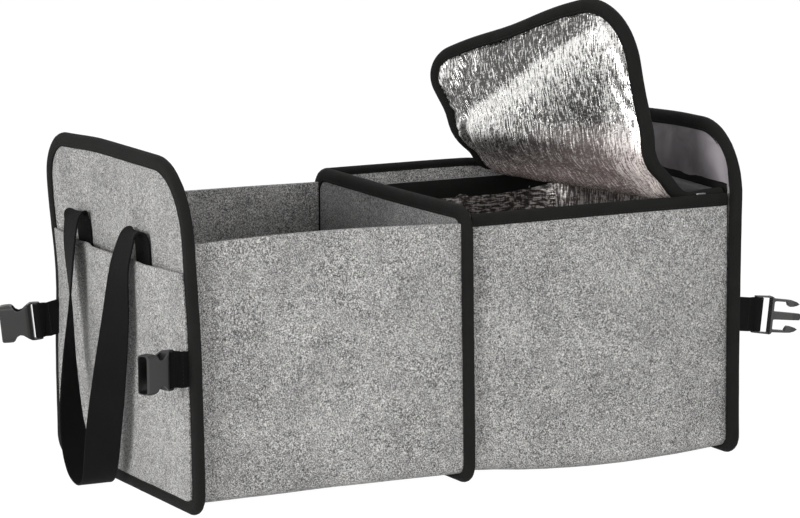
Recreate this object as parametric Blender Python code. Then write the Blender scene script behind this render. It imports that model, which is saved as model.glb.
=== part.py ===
# Felt car boot organizer with an insulated compartment.
#
# The bag stands on three bound edges: the left end panel, the divider and the right end panel.
# X runs along the bag, from the open storage end (-X) to the insulated end (+X).
# Y runs across it, with the front at -Y, and Z is up.
# The origin is on the floor, in the middle of the divider's bound lower edge.

import math

import bmesh
import bpy
from mathutils import Matrix, Vector

GAP = 0.0003                    # clearance between pieces that touch

# Bag body
STORAGE_LENGTH = 0.249          # between the faces of the left panel and the divider
COOLER_LENGTH = 0.256           # between the faces of the divider and the right panel
BODY_WIDTH = 0.282              # outside of the front wall to outside of the back wall
STORAGE_HEIGHT = 0.225          # top of the open compartment's walls
COOLER_HEIGHT = 0.2313          # top of the insulated compartment's felt walls
FELT = 0.003                    # wall felt
FOLD_RADIUS = 0.010             # where the walls turn into the base
COOLER_SAG = 0.0075             # how far the felt hangs down under the insulated box

# End panels and divider
PANEL_BOARD = 0.0045            # felt, stiffener and lining together
PANEL_OVERHANG = 0.0113         # how far the end panels stand out in front of and behind the walls
PANEL_HEIGHT = 0.2925           # top of the bound edge
PANEL_TOP_RADIUS = 0.055
PANEL_LOW_RADIUS = 0.018
DIVIDER_BOARD = 0.0045
DIVIDER_OVERHANG = 0.0073       # how far the divider stands out in front of and behind the walls
DIVIDER_RISE = 0.0072           # how far it stands above the insulated compartment's walls
DIVIDER_TOP_RADIUS = 0.022
DIVIDER_LOW_RADIUS = 0.0173
BOTTOM_FLANGE = 0.0073          # how far the boards stand below the walls

# Black binding
BINDING = 0.0012                # thickness of the folded tape
LIP = 0.0110                    # how far the tape covers each face
RIM_LIP = 0.0105                # how far it covers the insulated compartment's walls

# Base boards
BASE_BOARD = 0.003

# Insulated box
LINER = 0.0008
LINER_RADIUS = 0.045            # upright corners of the liner
LINER_FLOOR_RISE = 0.006        # foam under the liner
DECK_BELOW_RIM = 0.0118         # from the walls' top down to the fixed deck round the mouth
DECK = 0.0025
DECK_AT_DIVIDER = 0.024         # width of the deck on each side of the mouth
DECK_AT_HINGE = 0.014
DECK_AT_WALL = 0.009
ZIP_TAPE = 0.0012
ZIP_TAPE_DEPTH = 0.0165         # how far the tape hangs below the deck's top
ZIP_TAPE_RISE = 0.002           # how far it stands above the deck's top
LINING = 0.0008                 # grey lining on the right panel
LINING_LOW_RADIUS = 0.002
HINGE_TAPE = 0.0012
HINGE_TAPE_BELOW = 0.010
HINGE_TAPE_ABOVE = 0.003

# Lid
LID_LENGTH = 0.230
LID_MARGIN = 0.002              # the lid is this much narrower than the walls on each side
LID_BOARD = 0.0055
LID_RADIUS = 0.045
LID_FOLD_AT = 0.0665            # from the hinge seam to the first fold, on the centre line
LID_FOLD_PITCH = 0.0376         # from the first fold to the second
LID_SKEW = -13.8                # degrees between the folds and the Y axis
LID_FOLD_ANGLE = 44.35          # degrees at each fold, as the lid stands open

# Pockets
POCKET_FELT = 0.0025
POCKET_HEIGHT = 0.202
POCKET_GAPE = 0.0095            # how far the middle of the mouth stands off the panel

# Webbing
WEBBING_WIDTH = 0.030
HANDLE_WEBBING = 0.0016
STRAP_WEBBING = 0.0013
HANDLE_HALF_SPACING = 0.065     # from the handle's middle to each sewn end
HANDLE_OFFSET = 0.006           # the handle's middle lies this far behind the panel's middle
HANDLE_RISE = 0.022             # how far the handle arches over the pocket's mouth
HANDLE_STANDOFF = 0.0318        # how far the hanging loop stands off the panel
STRAP_HEIGHT = 0.124            # middle of the webbing above the floor

# Side-release buckles
BUCKLE_WIDTH = 0.0338
BUCKLE_DEPTH = 0.0124           # thickness of the socket
BUCKLE_ROUND = 0.0040           # radius of the socket's long corners
BUCKLE_FRAME = 0.0052           # thickness of the frame round the bar
BUCKLE_WALL = 0.0015
BAR_RADIUS = 0.0022
BAR_CLEARANCE = 0.0004
BAR_SLOT_CLEARANCE = 0.0004     # at each edge of the webbing
SOCKET_LENGTH = 0.033           # from the bar's axis to the mouth
SOCKET_THROAT = 0.0052          # from the bar's axis to the far side of its slot
SOCKET_NOTCH = 0.0065           # depth of each side window
PLUG_TAIL = 0.0048              # from the bar's axis back to the end of the plug's side arms
PLUG_SHOULDER = 0.0133          # from the bar's axis to the root of the prongs
PLUG_THROAT = 0.0113
PLUG_LENGTH = 0.0402            # from the bar's axis to the tip of the tongue
PLUG_FIT = 0.0004               # play of the plug in the socket
PRONG_WIDTH = 0.0023
PRONG_LENGTH = 0.0249           # from the shoulder to the tip of the prong
PRONG_BARB = 0.0064             # depth of the barbed end, from the prong's outside
TONGUE_WIDTH = 0.0070

# Zip slider
SLIDER_LENGTH = 0.0095
SLIDER_WIDTH = 0.0056
SLIDER_HEIGHT = 0.0050
SLIDER_FROM_HINGE = 0.018       # from the hinge seam to the slider's near end
PULL_LENGTH = 0.021
PULL_WIDTH = 0.0058
PULL_THICKNESS = 0.0012
PULL_PIN = 0.0007
PULL_COLLAR = 0.0007            # metal round the pull's eye
PULL_NECK = 0.0030              # from the pin to the end of the pull's narrow neck
PIN_DROP = 0.0020               # from the slider's underside to the pin's axis
EAR = 0.0012                    # thickness of the slider's two ears, and how far they stand in
PULL_LIFT = 82.0                # degrees that the pull is lifted from hanging, as it lies on the deck

# Each corner: end, side, degrees the buckle is turned about its bar, degrees its strap droops,
# and how far the strap reaches from the pocket's face to the bar
CORNERS = [
    ("left", "front", 23.0, 0.0, 0.0135),
    ("left", "back", -27.0, 6.0, 0.0180),
    ("right", "front", -10.0, 7.0, 0.0240),
    ("right", "back", 12.0, 4.0, 0.0240),
]

# Positions that follow from the sizes
WALL_Y = BODY_WIDTH / 2
PANEL_WIDTH = BODY_WIDTH + 2 * PANEL_OVERHANG
DIVIDER_WIDTH = BODY_WIDTH + 2 * DIVIDER_OVERHANG
DIVIDER_HEIGHT = COOLER_HEIGHT + DIVIDER_RISE
DECK_HEIGHT = COOLER_HEIGHT - DECK_BELOW_RIM
LID_WIDTH = BODY_WIDTH - 2 * LID_MARGIN
HANDLE_TOP = POCKET_HEIGHT + HANDLE_RISE
BASE_Z = BINDING + BOTTOM_FLANGE
DIVIDER_FACE = DIVIDER_BOARD / 2
LEFT_FACE = -DIVIDER_FACE - STORAGE_LENGTH
RIGHT_FACE = DIVIDER_FACE + COOLER_LENGTH
END_CLEARANCE = BINDING + GAP
LID_BOTTOM = COOLER_HEIGHT + BINDING + GAP
LID_TOP = LID_BOTTOM + LID_BOARD + 2 * BINDING
LID_SEAM = RIGHT_FACE - HINGE_TAPE - 2 * GAP
SKEW = math.radians(LID_SKEW)
CORNER_STEPS = 8
SMOOTH_ANGLE = math.radians(35)


def material(name, colour, roughness, metallic=0.0):
    """A Principled material of one colour."""
    made = bpy.data.materials.new(name)
    made.use_nodes = True
    shader = made.node_tree.nodes["Principled BSDF"]
    shader.inputs["Base Color"].default_value = (*colour, 1.0)
    shader.inputs["Roughness"].default_value = roughness
    shader.inputs["Metallic"].default_value = metallic
    return made


def solid(name, vertices, faces, finish, parent=None):
    """One closed mesh object with outward faces, smooth where it is round."""
    mesh = bpy.data.meshes.new(name)
    shape = bmesh.new()
    corners = [shape.verts.new(point) for point in vertices]
    for face in faces:
        shape.faces.new([corners[index] for index in face])
    bmesh.ops.recalc_face_normals(shape, faces=shape.faces)
    shape.to_mesh(mesh)
    shape.free()
    mesh.shade_smooth()
    mesh.set_sharp_from_angle(angle=SMOOTH_ANGLE)
    made = bpy.data.objects.new(name, mesh)
    made.data.materials.append(finish)
    bpy.context.scene.collection.objects.link(made)
    made.parent = parent
    return made


def loft(name, rings, finish, closed=False, parent=None):
    """Join rings of equal length in order. A closed loft returns to its first ring, an open one is capped."""
    count = len(rings[0])
    vertices = [point for ring in rings for point in ring]
    faces = []
    spans = len(rings) if closed else len(rings) - 1
    for span in range(spans):
        low = span * count
        high = ((span + 1) % len(rings)) * count
        for index in range(count):
            following = (index + 1) % count
            faces.append((low + index, low + following, high + following, high + index))
    if not closed:
        faces.append(tuple(range(count)))
        faces.append(tuple(range((len(rings) - 1) * count, len(rings) * count)))
    return solid(name, vertices, faces, finish, parent)


def rounded_rectangle(low, high, radii, steps=CORNER_STEPS):
    """Corners run bottom right, top right, top left, bottom left. One radius for each."""
    centres = [
        (high[0] - radii[0], low[1] + radii[0]),
        (high[0] - radii[1], high[1] - radii[1]),
        (low[0] + radii[2], high[1] - radii[2]),
        (low[0] + radii[3], low[1] + radii[3]),
    ]
    points = []
    for corner, (centre, radius) in enumerate(zip(centres, radii)):
        for step in range(steps + 1):
            angle = math.radians(90 * (corner - 1 + step / steps))
            points.append((centre[0] + radius * math.cos(angle), centre[1] + radius * math.sin(angle)))
    return points


def board_outline(width, height, top_radius, low_radius, inset=0.0):
    """Outline of an upright board in Y and Z, drawn in from its cut edge by an inset."""
    half = width / 2 - inset
    low = max(low_radius - inset, GAP)
    top = max(top_radius - inset, GAP)
    return rounded_rectangle((-half, BINDING + inset), (half, height - BINDING - inset), (low, top, top, low))


def upright_board(name, x_low, x_high, size, finish):
    """A flat board that stands across the bag."""
    outline = board_outline(*size)
    return loft(name, [[(x, y, z) for y, z in outline] for x in (x_low, x_high)], finish)


def bound_edge(name, x_low, x_high, size, finish):
    """Tape folded over a board's edge all the way round: a channel with a lip on each face."""
    board_low = x_low - GAP
    board_high = x_high + GAP
    section = [
        (-BINDING, board_low - BINDING),
        (LIP, board_low - BINDING),
        (LIP, board_low),
        (-GAP, board_low),
        (-GAP, board_high),
        (LIP, board_high),
        (LIP, board_high + BINDING),
        (-BINDING, board_high + BINDING),
    ]
    rings = [[(x, y, z) for y, z in board_outline(*size, inset=inset)] for inset, x in section]
    return loft(name, rings, finish, closed=True)


def wall_section(bottom, height):
    """Front wall, base and back wall of one folded felt sheet, seen from the end."""
    def path(inset):
        half = WALL_Y - inset
        radius = FOLD_RADIUS - inset
        floor = bottom + inset
        points = [(half, height)]
        for side in (1, -1):
            for step in range(CORNER_STEPS + 1):
                turn = math.radians(90 * step / CORNER_STEPS)
                turned = (math.cos(turn), math.sin(turn))
                across, down = turned if side > 0 else turned[::-1]
                points.append((side * (half - radius + radius * across), floor + radius - radius * down))
        points.append((-half, height))
        return points
    return path(0.0) + path(FELT)[::-1]


def folded_walls(name, x_low, x_high, height, sag, finish):
    """A felt sheet that makes the front, the base and the back of one compartment."""
    stations = 12 if sag else 1
    rings = []
    for station in range(stations + 1):
        share = station / stations
        x = x_low + (x_high - x_low) * share
        bottom = BASE_Z - sag * math.sin(math.pi * share) ** 0.8 if 0 < station < stations else BASE_Z
        rings.append([(x, y, z) for y, z in wall_section(bottom, height)])
    return loft(name, rings, finish)


def box(name, low, high, finish, radius=0.0, parent=None):
    """A flat slab with upright corners of one radius."""
    outline = rounded_rectangle(low[:2], high[:2], [radius] * 4) if radius else [
        (low[0], low[1]), (high[0], low[1]), (high[0], high[1]), (low[0], high[1])]
    return loft(name, [[(x, y, z) for x, y in outline] for z in (low[2], high[2])], finish, parent=parent)


def rim_band(name, x_low, x_high, side, finish):
    """Tape folded over the top of one wall of the insulated compartment."""
    outer = WALL_Y + GAP
    inner = WALL_Y - FELT - GAP
    top = COOLER_HEIGHT + GAP
    crown = COOLER_HEIGHT + BINDING
    low = crown - RIM_LIP
    section = [
        (outer + BINDING, low), (outer + BINDING, crown), (inner - BINDING, crown), (inner - BINDING, low),
        (inner, low), (inner, top), (outer, top), (outer, low),
    ]
    return loft(name, [[(x, side * y, z) for y, z in section] for x in (x_low, x_high)], finish)


def mouth_outline(inset):
    """Outline of the liner's mouth in X and Y, drawn in by an inset."""
    side = WALL_Y - FELT - GAP - DECK_AT_WALL - inset
    low = (DIVIDER_FACE + END_CLEARANCE + DECK_AT_DIVIDER + inset, -side)
    high = (RIGHT_FACE - END_CLEARANCE - DECK_AT_HINGE - inset, side)
    return rounded_rectangle(low, high, [LINER_RADIUS - inset] * 4)


def well_outline():
    """Outline in X and Y of the space between the felt walls, the divider and the right panel."""
    side = WALL_Y - FELT - GAP
    low = (DIVIDER_FACE + END_CLEARANCE, -side)
    high = (RIGHT_FACE - END_CLEARANCE, side)
    return rounded_rectangle(low, high, [GAP] * 4)


def at_height(outline, z):
    return [(x, y, z) for x, y in outline]


def insulated_box(finishes):
    """Foam box, foil liner, the deck round its mouth and the zip tape that hangs from the deck."""
    foam_low = BASE_Z + FELT + BASE_BOARD + 2 * GAP
    liner_low = foam_low + LINER_FLOOR_RISE + GAP
    deck_low = DECK_HEIGHT - DECK
    foam_top = deck_low - GAP
    cavity = mouth_outline(-LINER - GAP)
    fold = FOLD_RADIUS - FELT
    side = WALL_Y - FELT - GAP
    foot = rounded_rectangle((DIVIDER_FACE + END_CLEARANCE, -side + fold),
                             (RIGHT_FACE - END_CLEARANCE, side - fold), [GAP] * 4)
    foam = [at_height(foot, foam_low), at_height(well_outline(), foam_low + fold),
            at_height(well_outline(), foam_top), at_height(cavity, foam_top),
            at_height(cavity, liner_low - GAP)]
    loft("cooler_insulation", foam, finishes["foam"])
    liner = [at_height(mouth_outline(-LINER), liner_low), at_height(mouth_outline(-LINER), foam_top),
             at_height(mouth_outline(0.0), foam_top), at_height(mouth_outline(0.0), liner_low + LINER)]
    loft("cooler_liner", liner, finishes["foil"])
    deck = [at_height(well_outline(), deck_low), at_height(well_outline(), DECK_HEIGHT),
            at_height(mouth_outline(0.0), DECK_HEIGHT), at_height(mouth_outline(0.0), deck_low)]
    loft("cooler_deck", deck, finishes["felt"], closed=True)
    tape_low = DECK_HEIGHT - ZIP_TAPE_DEPTH
    tape_top = DECK_HEIGHT + ZIP_TAPE_RISE
    outside = mouth_outline(GAP)
    inside = mouth_outline(GAP + ZIP_TAPE)
    tape = [at_height(outside, tape_low), at_height(outside, tape_top),
            at_height(inside, tape_top), at_height(inside, tape_low)]
    loft("zip_tape_rim", tape, finishes["binding"], closed=True)


def fold_x(fold, y):
    """Where a fold line crosses the closed lid at a given Y. Fold 0 is the seam, 1 and 2 are the folds."""
    if fold == 0:
        return LID_SEAM
    centre = LID_SEAM - LID_FOLD_AT - (fold - 1) * LID_FOLD_PITCH / math.cos(SKEW)
    return centre + y * math.tan(SKEW)


def lid_edge(inset, side, from_fold, to_fold):
    """The two ends of one straight side edge of the closed lid, trimmed to its folds."""
    y = side * (LID_WIDTH / 2 - BINDING - inset)
    start = fold_x(from_fold, y) - (GAP / 2 if from_fold else 0.0)
    return [(start, y), (fold_x(to_fold, y) + GAP / 2, y)]


def lid_end(inset):
    """The free end of the closed lid, from its back edge round both corners to its front edge."""
    half = LID_WIDTH / 2 - BINDING - inset
    free = LID_SEAM - LID_LENGTH + BINDING + inset
    radius = LID_RADIUS - inset
    points = []
    for side in (1, -1):
        for step in range(CORNER_STEPS + 1):
            turn = math.radians(90 * step / CORNER_STEPS)
            along, across = (math.sin(turn), math.cos(turn)) if side > 0 else (math.cos(turn), math.sin(turn))
            points.append((free + radius - radius * along, side * (half - radius + radius * across)))
    start = [(fold_x(2, half) - GAP / 2, half)]
    finish = [(fold_x(2, -half) - GAP / 2, -half)]
    return start + points + finish


def channel_section():
    """Inset and height of each corner of the lid's folded tape."""
    low = LID_BOTTOM + BINDING - GAP
    high = LID_TOP - BINDING + GAP
    return [(-BINDING, LID_BOTTOM), (LIP, LID_BOTTOM), (LIP, low), (-GAP, low),
            (-GAP, high), (LIP, high), (LIP, LID_TOP), (-BINDING, LID_TOP)]


def lid_channel(name, path, finish, parent):
    """Tape folded over the lid's edge along a path, which is worked out for each inset."""
    section = channel_section()
    routes = [path(inset) for inset, height in section]
    rings = []
    for station in range(len(routes[0])):
        rings.append([(*route[station], height) for route, (inset, height) in zip(routes, section)])
    moved = [[Vector(point) - parent_origin(parent) for point in ring] for ring in rings]
    return loft(name, moved, finish, parent=parent)


def parent_origin(parent):
    """Where a lid piece's empty stands when the lid is closed."""
    return Vector(parent["closed_at"]) if parent else Vector((0, 0, 0))


def lid_slab(name, outline, finish, parent):
    """One stiff stretch of the lid between two folds."""
    origin = parent_origin(parent)
    heights = (LID_BOTTOM + BINDING, LID_TOP - BINDING)
    rings = [[Vector((x, y, z)) - origin for x, y in outline] for z in heights]
    return loft(name, rings, finish, parent=parent)


def fold_empty(name, fold, parent):
    """An empty on a fold line, turned to the angle at which the lid stands open."""
    made = bpy.data.objects.new(name, None)
    bpy.context.scene.collection.objects.link(made)
    closed_at = Vector((fold_x(fold, 0.0), 0.0, LID_TOP))
    axis = Vector((math.sin(SKEW), math.cos(SKEW), 0.0))
    made["closed_at"] = closed_at
    made.parent = parent
    turn = Matrix.Rotation(math.radians(LID_FOLD_ANGLE), 4, axis)
    made.matrix_basis = Matrix.Translation(closed_at - parent_origin(parent)) @ turn
    return made


def lid(finishes):
    """Foil-faced lid with two folds. It is drawn closed and its empties stand it open."""
    first = fold_empty("lid_first_fold", 1, None)
    second = fold_empty("lid_second_fold", 2, first)
    for name, from_fold, to_fold, parent in (("lid_root", 0, 1, None), ("lid_middle", 1, 2, first)):
        back = lid_edge(0.0, 1, from_fold, to_fold)
        front = lid_edge(0.0, -1, from_fold, to_fold)
        lid_slab(name, back + front[::-1], finishes["foil"], parent)
        for side, word in ((1, "back"), (-1, "front")):
            def path(inset, side=side, ends=(from_fold, to_fold)):
                return lid_edge(inset, side, *ends)
            lid_channel(f"{name}_binding_{word}", path, finishes["binding"], parent)
    lid_slab("lid_panel", lid_end(0.0), finishes["foil"], second)
    lid_channel("lid_panel_binding", lid_end, finishes["binding"], second)


def pocket_gape(y, z):
    """How far the pocket's inner face stands off the panel at a point."""
    half = PANEL_WIDTH / 2 - LIP
    low = BINDING + LIP
    across = max(1 - (y / half) ** 2, 0.0)
    up = (z - low) / (POCKET_HEIGHT - low)
    return GAP + POCKET_GAPE * across * math.sin(math.pi / 2 * up)


def pocket(name, face, outward, finish):
    """A felt pocket on an end panel, sewn at its sides and base, with a mouth that gapes."""
    half = PANEL_WIDTH / 2 - LIP - GAP
    low = BINDING + LIP + GAP
    columns = 18
    rows = 10
    rings = []
    for column in range(columns + 1):
        y = -half + 2 * half * column / columns
        edge = min(half - abs(y), PANEL_LOW_RADIUS)
        floor = low + (PANEL_LOW_RADIUS - edge) * 0.35
        heights = [floor + (POCKET_HEIGHT - floor) * row / rows for row in range(rows + 1)]
        inner = [(face + outward * pocket_gape(y, z), y, z) for z in heights]
        outer = [(x + outward * POCKET_FELT, y, z) for x, y, z in inner]
        rings.append(inner + outer[::-1])
    return loft(name, rings, finish)


def ribbon(name, points, widths, thickness, finish, parent=None):
    """Flat webbing along a path. Each point has the direction of the webbing's width there."""
    rings = []
    for index, point in enumerate(points):
        before = points[max(index - 1, 0)]
        after = points[min(index + 1, len(points) - 1)]
        along = (after - before).normalized()
        width = widths[index]
        width = (width - along * width.dot(along)).normalized()
        normal = along.cross(width)
        half = width * WEBBING_WIDTH / 2
        depth = normal * thickness / 2
        rings.append([point - half - depth, point + half - depth, point + half + depth, point - half + depth])
    return loft(name, rings, finish, parent=parent)


def spline(values, steps):
    """A smooth curve through values, which may be numbers or vectors."""
    out = []
    last = len(values) - 1
    for index in range(last):
        before = values[max(index - 1, 0)]
        start = values[index]
        end = values[index + 1]
        after = values[min(index + 2, last)]
        for step in range(steps):
            t = step / steps
            out.append(0.5 * (2 * start + (end - before) * t
                              + (2 * before - 5 * start + 4 * end - after) * t ** 2
                              + (3 * start - before - 3 * end + after) * t ** 3))
    out.append(values[last])
    return out


def handle(name, face, outward, finish):
    """A carrying handle: its ends are sewn behind the pocket, and its loop hangs outside it.

    Each row is one point of half the handle: its distance off the panel as a share of the stand-off,
    how far it is drawn in from the sewn end as a share of half the spacing, its height as a share
    of the arch's height, and the degrees that the webbing is turned from the panel.
    """
    sewn = GAP + HANDLE_WEBBING / 2
    half_route = [
        (0.0000, 0.0000, 0.6473, 0),
        (0.0000, 0.0000, 0.8259, 0),
        (0.0849, 0.0154, 0.9241, 1),
        (0.2138, 0.0308, 0.9844, 3),
        (0.4025, 0.0615, 1.0000, 5),
        (0.5660, 0.0923, 0.9598, 8),
        (0.6667, 0.1385, 0.8705, 13),
        (0.7704, 0.2154, 0.6696, 27),
        (0.9119, 0.3231, 0.4464, 44),
        (1.0000, 0.4462, 0.2455, 62),
        (0.9748, 0.5846, 0.1205, 76),
        (0.9182, 0.7538, 0.0424, 86),
        (0.8805, 1.0000, 0.0152, 90),
    ]
    points = []
    angles = []
    for side in (-1, 1):
        rows = half_route if side < 0 else half_route[-2::-1]
        for off, drawn_in, height, turned in rows:
            x = face + outward * max(off * HANDLE_STANDOFF, sewn)
            y = HANDLE_OFFSET + side * HANDLE_HALF_SPACING * (1 - drawn_in)
            points.append(Vector((x, y, height * HANDLE_TOP)))
            angles.append(float(turned if side < 0 else 180 - turned))
    smooth_points = spline(points, 4)
    smooth_angles = spline(angles, 4)
    widths = []
    for angle in smooth_angles:
        turn = math.radians(angle)
        widths.append(Vector((outward * math.sin(turn), math.cos(turn), 0.0)))
    return ribbon(name, smooth_points, widths, HANDLE_WEBBING, finish)


def strap(name, parent, reach, droop, finish):
    """Webbing doubled round a buckle's bar. Its root is cut to lie flat on the pocket when it droops."""
    eye = BAR_RADIUS + BAR_CLEARANCE + STRAP_WEBBING / 2
    layer = (STRAP_WEBBING + GAP) / 2
    waist = eye * 1.6
    route = [(-reach, layer), (-waist - eye, layer), (-waist, layer * 1.25), (-eye, eye * 0.72)]
    turn_from = 130
    for step in range(13):
        angle = math.radians(turn_from - 2 * turn_from * step / 12)
        route.append((eye * math.cos(angle), eye * math.sin(angle)))
    route += [(x, -y) for x, y in route[3::-1]]
    points = [Vector((x, y, 0.0)) for x, y in route]
    made = ribbon(name, points, [Vector((0, 0, 1))] * len(points), STRAP_WEBBING, finish, parent)
    for vertex in made.data.vertices:
        if vertex.co.x < -reach + GAP:
            vertex.co.x = -reach - math.tan(droop) * vertex.co.z
    return made


def prism(name, outline, low, high, plane, finish=None):
    """An outline in X and Z, or in X and Y, given thickness along the third axis."""
    if plane == "XZ":
        rings = [[(x, y, z) for x, z in outline] for y in (low, high)]
    else:
        rings = [[(x, y, z) for x, y in outline] for z in (low, high)]
    return loft(name, rings, finish or CUTTER)


def combine(target, tool, operation):
    """Apply one exact Boolean to the target and take its tool away."""
    step = target.modifiers.new(operation.lower(), "BOOLEAN")
    step.operation = operation
    step.solver = "EXACT"
    step.object = tool
    graph = bpy.context.evaluated_depsgraph_get()
    target_mesh = bpy.data.meshes.new_from_object(target.evaluated_get(graph))
    target.modifiers.clear()
    target.data = target_mesh
    bpy.data.objects.remove(tool)


def bar(name, radius, half_length):
    """A round bar along Z."""
    sides = 16
    ring = [(radius * math.cos(2 * math.pi * side / sides), radius * math.sin(2 * math.pi * side / sides))
            for side in range(sides)]
    return prism(name, ring, -half_length, half_length, "XY")


def mirrored(half):
    """A closed outline in X and Z from its upper half, which runs from the bar to the far end."""
    return half + [(x, -z) for x, z in half[::-1]]


def frame_cut(name, far_side):
    """The slot that the webbing passes through, open over the bar, which is put back as a round one."""
    half = WEBBING_WIDTH / 2 + BAR_SLOT_CLEARANCE
    slot = [(-BUCKLE_FRAME, half), (far_side, half), (far_side, -half), (-BUCKLE_FRAME, -half)]
    return prism(name, slot, -BUCKLE_DEPTH, BUCKLE_DEPTH, "XZ")


def finish_buckle(made, name, parent, finish):
    """Give a finished buckle half its name, its bar, its material and its place."""
    half_slot = WEBBING_WIDTH / 2 + BAR_SLOT_CLEARANCE
    combine(made, bar("webbing_bar", BAR_RADIUS, half_slot + BUCKLE_WALL / 2), "UNION")
    made.name = name
    made.data.name = name
    made.data.materials.clear()
    made.data.materials.append(finish)
    made.data.shade_smooth()
    made.data.set_sharp_from_angle(angle=SMOOTH_ANGLE)
    made.parent = parent
    return made


def frame_end(tail):
    """Side view of the rounded end of a buckle's frame, from below the bar round to above it."""
    half = BUCKLE_FRAME / 2
    points = []
    for turn in range(7):
        angle = math.pi * turn / 6
        points.append((half - tail - half * math.sin(angle), -half * math.cos(angle)))
    return points


def buckle_socket(name, parent, finish):
    """Female half: a flat housing, open at its mouth and at both side windows."""
    half = BUCKLE_WIDTH / 2
    waist = half - SOCKET_NOTCH
    outline = mirrored([
        (-BUCKLE_FRAME, half - 0.0006), (0.0045, half), (0.0068, half - 0.0006), (0.0105, half - 0.0034),
        (0.0138, waist + 0.0006), (0.0168, waist), (0.0195, waist + 0.0014), (0.0218, half - 0.0016),
        (0.0236, half - 0.0004), (0.0250, half), (SOCKET_LENGTH - 0.0012, half - 0.0007),
        (SOCKET_LENGTH, half - 0.0020),
    ])
    made = prism(name, outline, -BUCKLE_DEPTH, BUCKLE_DEPTH, "XZ", finish)
    deep = BUCKLE_DEPTH / 2
    thin = BUCKLE_FRAME / 2
    side_view = frame_end(thin) + [
        (SOCKET_THROAT - 0.0010, thin), (SOCKET_THROAT + 0.0028, deep - 0.0004),
        (SOCKET_THROAT + 0.0048, deep), (SOCKET_LENGTH - 0.0014, deep), (SOCKET_LENGTH, deep - 0.0008),
        (SOCKET_LENGTH, -deep + 0.0008), (SOCKET_LENGTH - 0.0014, -deep), (SOCKET_THROAT + 0.0048, -deep),
        (SOCKET_THROAT + 0.0028, -deep + 0.0004), (SOCKET_THROAT - 0.0010, -thin),
    ]
    combine(made, prism("side_view", side_view, -BUCKLE_WIDTH, BUCKLE_WIDTH, "XY"), "INTERSECT")
    section = rounded_rectangle((-deep, -half), (deep, half), [BUCKLE_ROUND] * 4, steps=4)
    rings = [[(x, y, z) for y, z in section] for x in (-SOCKET_LENGTH, 2 * SOCKET_LENGTH)]
    combine(made, loft("section", rings, CUTTER), "INTERSECT")
    cavity_low = SOCKET_THROAT + BUCKLE_WALL + 0.0012
    room = (deep - BUCKLE_WALL, half - BUCKLE_WALL)
    inner_round = BUCKLE_ROUND - BUCKLE_WALL
    cavity = rounded_rectangle((-room[0], -room[1]), room, [inner_round] * 4, steps=4)
    rings = [[(x, y, z) for y, z in cavity] for x in (cavity_low, 2 * SOCKET_LENGTH)]
    combine(made, loft("cavity", rings, CUTTER), "DIFFERENCE")
    combine(made, frame_cut("slot", SOCKET_THROAT), "DIFFERENCE")
    return finish_buckle(made, name, parent, finish)


def buckle_plug(name, parent, finish):
    """Male half: a frame with two sprung prongs and a middle tongue."""
    half = BUCKLE_WIDTH / 2
    prong = half - BUCKLE_WALL - PLUG_FIT
    inner = prong - PRONG_WIDTH
    tongue = TONGUE_WIDTH / 2
    root = PLUG_SHOULDER
    shoulder = [
        (-BUCKLE_FRAME, half - 0.0006), (root - 0.0024, half),
        (root - 0.0008, half - 0.0008), (root, prong),
    ]
    # Shares of the prong's length and of its barb's depth, round the barbed end
    barb_shares = [
        (0.525, 0.057), (0.712, 0.100), (0.876, 0.286), (1.000, 0.600),
        (0.891, 0.829), (0.743, 0.971), (0.619, 1.000), (0.564, 0.800),
    ]
    barb = [(root + along * PRONG_LENGTH, prong - deep * PRONG_BARB) for along, deep in barb_shares]
    fork = [
        (root + 0.52 * PRONG_LENGTH, inner), (root + 0.0020, inner),
        (root + 0.0004, inner - 0.0012), (root, inner - 0.0034),
        (root, tongue + 0.0018), (root + 0.0005, tongue + 0.0005), (root + 0.0018, tongue),
        (PLUG_LENGTH - 0.0010, tongue - 0.0006), (PLUG_LENGTH, tongue - 0.0016),
    ]
    outline = mirrored(shoulder + barb + fork)
    made = prism(name, outline, -BUCKLE_DEPTH, BUCKLE_DEPTH, "XZ", finish)
    thin = BUCKLE_FRAME / 2
    fit = BUCKLE_DEPTH / 2 - BUCKLE_WALL - PLUG_FIT
    side_view = frame_end(PLUG_TAIL) + [
        (PLUG_THROAT - 0.0012, thin), (PLUG_THROAT, fit),
        (PLUG_SHOULDER, fit), (PLUG_SHOULDER + 0.0008, thin),
        (PLUG_LENGTH - 0.0080, thin), (PLUG_LENGTH, thin - 0.0010),
        (PLUG_LENGTH, -thin + 0.0010), (PLUG_LENGTH - 0.0080, -thin),
        (PLUG_SHOULDER + 0.0008, -thin), (PLUG_SHOULDER, -fit),
        (PLUG_THROAT, -fit), (PLUG_THROAT - 0.0012, -thin),
    ]
    combine(made, prism("side_view", side_view, -BUCKLE_WIDTH, BUCKLE_WIDTH, "XY"), "INTERSECT")
    combine(made, frame_cut("slot", PLUG_THROAT), "DIFFERENCE")
    return finish_buckle(made, name, parent, finish)


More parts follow.
